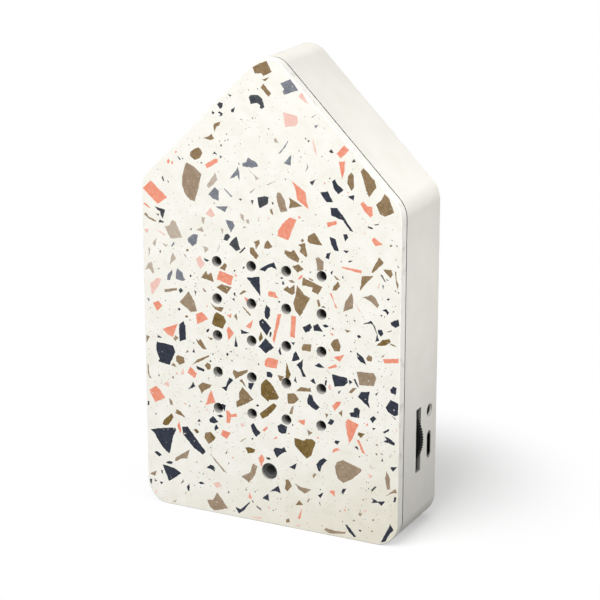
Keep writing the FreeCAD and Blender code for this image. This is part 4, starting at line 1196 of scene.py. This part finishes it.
# %% Turn the ring and the lens
ring_low, ring_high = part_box("sensor_bezel")
ring_front, ring_back = ring_low.y / mm, ring_high.y / mm
opening, funnel_depth, funnel_top, face_in = 1.45, 1.3, 2.2, 2.35
ring_out, flange_out, flange = eye_radius - 0.06, 5.2, ring_back - 1.0
soft, softer = 0.1, 0.35
funnel = [(opening, ring_back), (opening, ring_front + funnel_depth), (funnel_top, ring_front + soft),
          (face_in, ring_front)]
rim = [(ring_out - softer, ring_front), (ring_out - soft, ring_front + soft), (ring_out, ring_front + softer)]
foot = [(ring_out, flange), (flange_out, flange), (flange_out, ring_back), (opening, ring_back)]
eye_ring = turned(funnel + rim + foot, 48, "y", (0, 0, eye_height))
eye_ring = make_object(eye_ring, "eye_ring", [ring_plastic])
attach(eye_ring, "case")
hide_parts("sensor_bezel")

lens_low, lens_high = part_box("indicator_lens")
lens_middle = (lens_low + lens_high) / 2 / mm
lens_back, lens_face, wall_inside = lens_low.x / mm, lens_high.x / mm, half_width - 2.0
stem, collar, window = 1.2, 3.1, 2.2
collar_back, collar_front = wall_inside - 0.9, wall_inside - 0.02
dome = [(window, lens_face - 0.1), (2.0, lens_face + 0.1), (1.3, lens_face + 0.25), (0, lens_face + 0.3)]
lens = turned([(0, lens_back), (stem, lens_back), (stem, collar_back), (collar, collar_back),
               (collar, collar_front), (window, collar_front)] + dome,
              40, "x", (0, lens_middle.y, lens_middle.z))
lamp_lens = make_object(lens, "lamp_lens", [smoked_acrylic])
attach(lamp_lens, "case")
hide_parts("indicator_lens")
print("eye at", round(eye_height, 1), "lens at", [round(v, 1) for v in lens_middle])

# %% [markdown]
# ## Finishes of the other pieces
# The pieces inside the case and in the port keep their construction shapes. Each slot of the record gets
# one material, named for the real one, with two near tones and a grain of a real size. Each row below
# holds the name, the two tones, the roughness, whether it is a metal, and the size of its patches in
# millimetres.

# %% Materials for the record's slots
slot_looks = {
    # a dull black line between the panel and the case
    "adhesive_foam": ("foam_tape_black", "#1a1a1a", "#262626", 0.9, 0.0, 0.6),
    # black with no gloss, so the holes look deep
    "black_cloth": ("polyester_cloth_woven_black", "#070708", "#0e0e10", 0.95, 0.0, 0.5),
    # bright grey metal, a little clouded
    "zinc_steel": ("steel_zinc_plated", "#b3b4b4", "#c4c5c4", 0.3, 1.0, 1.5),
    # smooth silver with a warm tint
    "magnet_alloy": ("magnet_nickel_plated", "#b5b4b0", "#c6c5c0", 0.22, 1.0, 2.0),
    # soft black with a broad sheen
    "black_rubber": ("film_soft_black", "#141414", "#1d1d1d", 0.6, 0.0, 1.0),
    # brownish black, half matt
    "cone_film": ("film_pressed_dark", "#2a2723", "#332f2a", 0.5, 0.0, 1.0),
    # warm metal under clear enamel, fine as its wire
    "copper_winding": ("copper_wire_enamelled", "#a5602f", "#bd7440", 0.3, 1.0, 0.3),
    # deep green with a lacquer's gloss
    "circuit_board": ("circuit_board_solder_resist", "#0f4a2a", "#145634", 0.35, 0.0, 1.5),
    # dark grey, half matt
    "grey_plastic": ("nylon_moulded_grey", "#28292a", "#333436", 0.5, 0.0, 1.0),
    # milky white, half matt
    "white_plastic": ("nylon_moulded_white", "#e2dfd8", "#ebe8e2", 0.5, 0.0, 1.0),
    # pale metal with fine drawing marks
    "capacitor_can": ("aluminium_drawn", "#bfc0c1", "#cdcecf", 0.35, 1.0, 0.8),
    # even red with a soft gloss
    "lead_sheath": ("pvc_sheath_red", "#8f1616", "#a11d1d", 0.4, 0.0, 1.0),
    # a dark mirror
    "sensor_filter": ("silicon_filter_dark", "#0b0a0c", "#131115", 0.15, 0.0, 1.0),
    # blue with the gloss of shrunk film
    "cell_sleeve": ("pvc_shrink_sleeve_blue", "#28568c", "#30629c", 0.3, 0.0, 4.0),
    # black, half matt, with a fine grain
    "black_plastic": ("abs_black_moulded", "#101011", "#18181a", 0.45, 0.0, 1.0),
}
slot_materials = {"smoked_lens": smoked_acrylic, "dark_plastic": ring_plastic, "case_plastic": case_plastic}
grain_height = 0.005
for slot, (name, dark, light, rough, metal, size_mm) in slot_looks.items():
    material, tree, surface = new_material(name, Roughness=rough, Metallic=metal)
    place = mottle(tree, surface, dark, light, size_mm)
    grain(tree, surface, place, size_mm / 3, grain_height)
    slot_materials[slot] = material
for row in frame["record"]["subparts"]:
    node = frame["nodes"][row["node"]]
    if row["material_slot"] in slot_materials:
        node.data.materials.clear()
        node.data.materials.append(slot_materials[row["material_slot"]])
print("slots with a finish", len(slot_materials))

# %% [markdown]
# The port's shell is steel too, but coloured near black as painted shade for the dark inside of the port.
# It could keep the zinc of the other steel, but then it would shine out of the wall; in black the whole
# port looks dark, with a thin gleam on its rim.

# %% Painted shade on the port's shell
# Painted shade: a near-black metal, so the port's inside reads dark.
port_shade_steel, tree, surface = new_material("steel_dark_painted_shade", Roughness=0.32, Metallic=1.0)
mottle(tree, surface, "#1d1d1f", "#29292b", 1.5)
port_shell = frame["nodes"]["usb_shell"]
port_shell.data.materials.clear()
port_shell.data.materials.append(port_shade_steel)
print("port shell in", port_shade_steel.name)

# %% [markdown]
# ## Screws of the rear cover
# The cover is held by three pan-head screws with a cross recess. One screw is modelled: a low dome on a
# plain stem, turned as one profile, with two crossed slots cut out of the dome. Boolean cuts keep the
# slots' edges crisp, which a bump in the material would not.

# %% One screw
screw_steel = slot_materials["zinc_steel"]
head_height, head_radius, stem_radius, stem_length = 1.3, 2.4, 1.3, 8.0
slot_length, slot_width, slot_depth, slot_middle = 2.6, 0.55, 1.6, 1.2
head = turned([(0, head_height), (1.5, 1.28), (2.1, 1.05), (head_radius, 0.6), (head_radius, 0.0),
               (stem_radius, 0.0), (stem_radius, -stem_length), (0, -stem_length)], 32, "y", (0, 0, 0))
one_screw = make_object(head, "screw", [screw_steel])
for wide, tall in ((slot_length, slot_width), (slot_width, slot_length)):
    slot = bmesh.new()
    bmesh.ops.create_cube(slot, size=1, matrix=Matrix.Translation((0, slot_middle * mm, 0)) @
                          Matrix.Diagonal((wide * mm, slot_depth * mm, tall * mm, 1)))
    cutter = make_object(slot, "cutter", [screw_steel])
    cut = one_screw.modifiers.new("recess", "BOOLEAN")
    cut.operation, cut.solver, cut.object = "DIFFERENCE", "EXACT", cutter
    shaped = bpy.data.meshes.new_from_object(one_screw.evaluated_get(bpy.context.evaluated_depsgraph_get()))
    one_screw.modifiers.clear()
    one_screw.data = shaped
    bpy.data.objects.remove(cutter)
for face in one_screw.data.polygons:
    face.use_smooth = True
one_screw.data.set_sharp_from_angle(angle=math.radians(30))
print("faces in one screw", len(one_screw.data.polygons))

# %% [markdown]
# A Geometry Nodes tree puts the screw at each of its places. They come from the construction model, as
# single points in a helper object, so a screw that moves there moves here too.

# %% One screw at each place
spots = bmesh.new()
screw_nodes = ["cover_screw_1", "cover_screw_2", "cover_screw_3"]
for node in screw_nodes:
    low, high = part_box(node)
    spots.verts.new(((low.x + high.x) / 2, high.y - head_height * mm, (low.z + high.z) / 2))
spot_piece = make_object(spots, "screw_places", [])
tree, given = new_tree("screws", [
    ("Places", "NodeSocketObject", None), ("Screw", "NodeSocketObject", None),
    ("Finish", "NodeSocketMaterial", None)])
places = add(tree, "GeometryNodeObjectInfo", {"Object": given["Places"]})
shape = add(tree, "GeometryNodeObjectInfo", {"Object": given["Screw"], "As Instance": True})
copies = add(tree, "GeometryNodeInstanceOnPoints", {"Points": places.outputs["Geometry"],
                                                    "Instance": shape.outputs["Geometry"]})
end_tree(tree, copies, given["Finish"])
screws = grown(tree, "screws", screw_steel, {"Places": spot_piece, "Screw": one_screw, "Finish": screw_steel})
bpy.data.objects.remove(one_screw)
bpy.data.objects.remove(spot_piece)
cover_screws = make_object(screws, "cover_screws", [screw_steel])
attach(cover_screws, "case")
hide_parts(*screw_nodes)
print("screw faces", len(screws.polygons))

# %% [markdown]
# ## Floor
# The box stands on a large white floor. More light would whiten it, but would bleach the box too, so the
# floor's own colour does it: for the camera it is white, and away from the box it turns into plain white
# light, so the background has no edge and the shadow stays close to the box. For the light that it throws
# back on the box it is dark grey, as a table with black cards round it, so the lower part of the box is a
# little darker than its top.

# %% Floor that fades to white
floor_thrown, floor_seen = 0.1, 1.0
fade_middle, fade_start, fade_full = (0.01, 0.03, 0), 0.02, 0.1


def showing_rays(tree):
    """1 for a ray that shows the background: seen straight, mirrored in a surface, or through glass."""
    rays = add(tree, "ShaderNodeLightPath").outputs
    shown = rays["Is Camera Ray"]
    for kind in ("Is Glossy Ray", "Is Transmission Ray"):
        shown = add(tree, "ShaderNodeMath", {0: shown, 1: rays[kind]}, operation="MAXIMUM").outputs[0]
    return shown


floor_material, tree, surface = new_material("studio_floor", Roughness=0.9)
place = add(tree, "ShaderNodeTexCoord").outputs["Object"]
seen = showing_rays(tree)
tone = add(tree, "ShaderNodeMapRange", {"Value": seen, "To Min": floor_thrown, "To Max": floor_seen})
tree.links.new(tone.outputs[0], surface.inputs["Base Color"])
far = add(tree, "ShaderNodeVectorMath", {0: place, 1: fade_middle}, operation="DISTANCE")
fade = add(tree, "ShaderNodeMapRange", {"Value": far.outputs["Value"], "From Min": fade_start,
                                        "From Max": fade_full}, interpolation_type="SMOOTHSTEP")
share = add(tree, "ShaderNodeMath", {0: fade.outputs[0], 1: seen}, operation="MULTIPLY")
white = add(tree, "ShaderNodeEmission", {"Color": linear("#ffffff"), "Strength": 1.0})
mixed = add(tree, "ShaderNodeMixShader", {0: share.outputs[0], 1: surface.outputs[0], 2: white.outputs[0]})
tree.links.new(mixed.outputs[0], tree.nodes["Material Output"].inputs["Surface"])

ground = bmesh.new()
bmesh.ops.create_grid(ground, x_segments=1, y_segments=1, size=6)
floor = make_object(ground, "studio_floor", [floor_material])
floor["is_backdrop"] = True
print("floor is", round(floor.dimensions.x, 1), "m wide")

# %% [markdown]
# ## Sky and lamps
# The light is a plain studio's: an even pale sky, a large soft lamp high in front, and a small one beside
# the camera that shines into the holes. Three narrow lamps touch one side each: the back, the right roof
# and the right wall. The sky that the camera sees is white, but the sky that lights the box is weaker.

# %% Sky
sky_light = 0.38
world = bpy.data.worlds.new("studio_sky")
bpy.context.scene.world = world
world.use_nodes = True
tree = world.node_tree
tree.nodes.clear()
even = add(tree, "ShaderNodeBackground", {"Color": linear("#ffffff"), "Strength": sky_light})
plain = add(tree, "ShaderNodeBackground", {"Color": linear("#ffffff"), "Strength": 1.0})
both = add(tree, "ShaderNodeMixShader", {0: showing_rays(tree), 1: even.outputs[0], 2: plain.outputs[0]})
add(tree, "ShaderNodeOutputWorld", {"Surface": both.outputs[0]})
print("sky of strength", sky_light)

# %% Lamps
def soft_box(name, watts, side, spread, place, aim):
    """A square lamp of a side in metres and a spread in degrees, which shines from its place at an aim."""
    lamp = bpy.data.objects.new(name, bpy.data.lights.new(name, "AREA"))
    lamp.data.energy = watts
    lamp.data.size = side
    lamp.data.spread = math.radians(spread)
    lamp.location = place
    lamp.rotation_euler = (Vector(place) - Vector(aim)).to_track_quat("Z", "Y").to_euler()
    bpy.context.scene.collection.objects.link(lamp)
    return lamp


box_middle = (0, 0, 0.09)
lamps = [soft_box("key_lamp", 10.6, 0.9, 180, (-0.2, -0.8, 0.85), box_middle),
         soft_box("front_lamp", 2.3, 0.08, 180, (0.43, -0.855, 0.38), box_middle),
         soft_box("back_lamp", 0.036, 0.15, 15, (-0.18, 0.88, 0.1), box_middle),
         soft_box("roof_lamp", 0.0044, 0.04, 10, (0.35, 0, 0.75), (0.018, 0, 0.16)),
         soft_box("side_lamp", 0.0185, 0.06, 15, (0.6, 0, 0.45), (0.05, 0, 0.083))]
bpy.context.scene.view_settings.view_transform = "Standard"
print("lamps", [(lamp.name, lamp.data.energy) for lamp in lamps])

# %% [markdown]
# ## Finish
# The last step measures the box of what is shown and prints its sizes in millimetres.

# %% Measure what is shown
low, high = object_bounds()
print("visual box in mm", [round(side / mm, 2) for side in high - low])
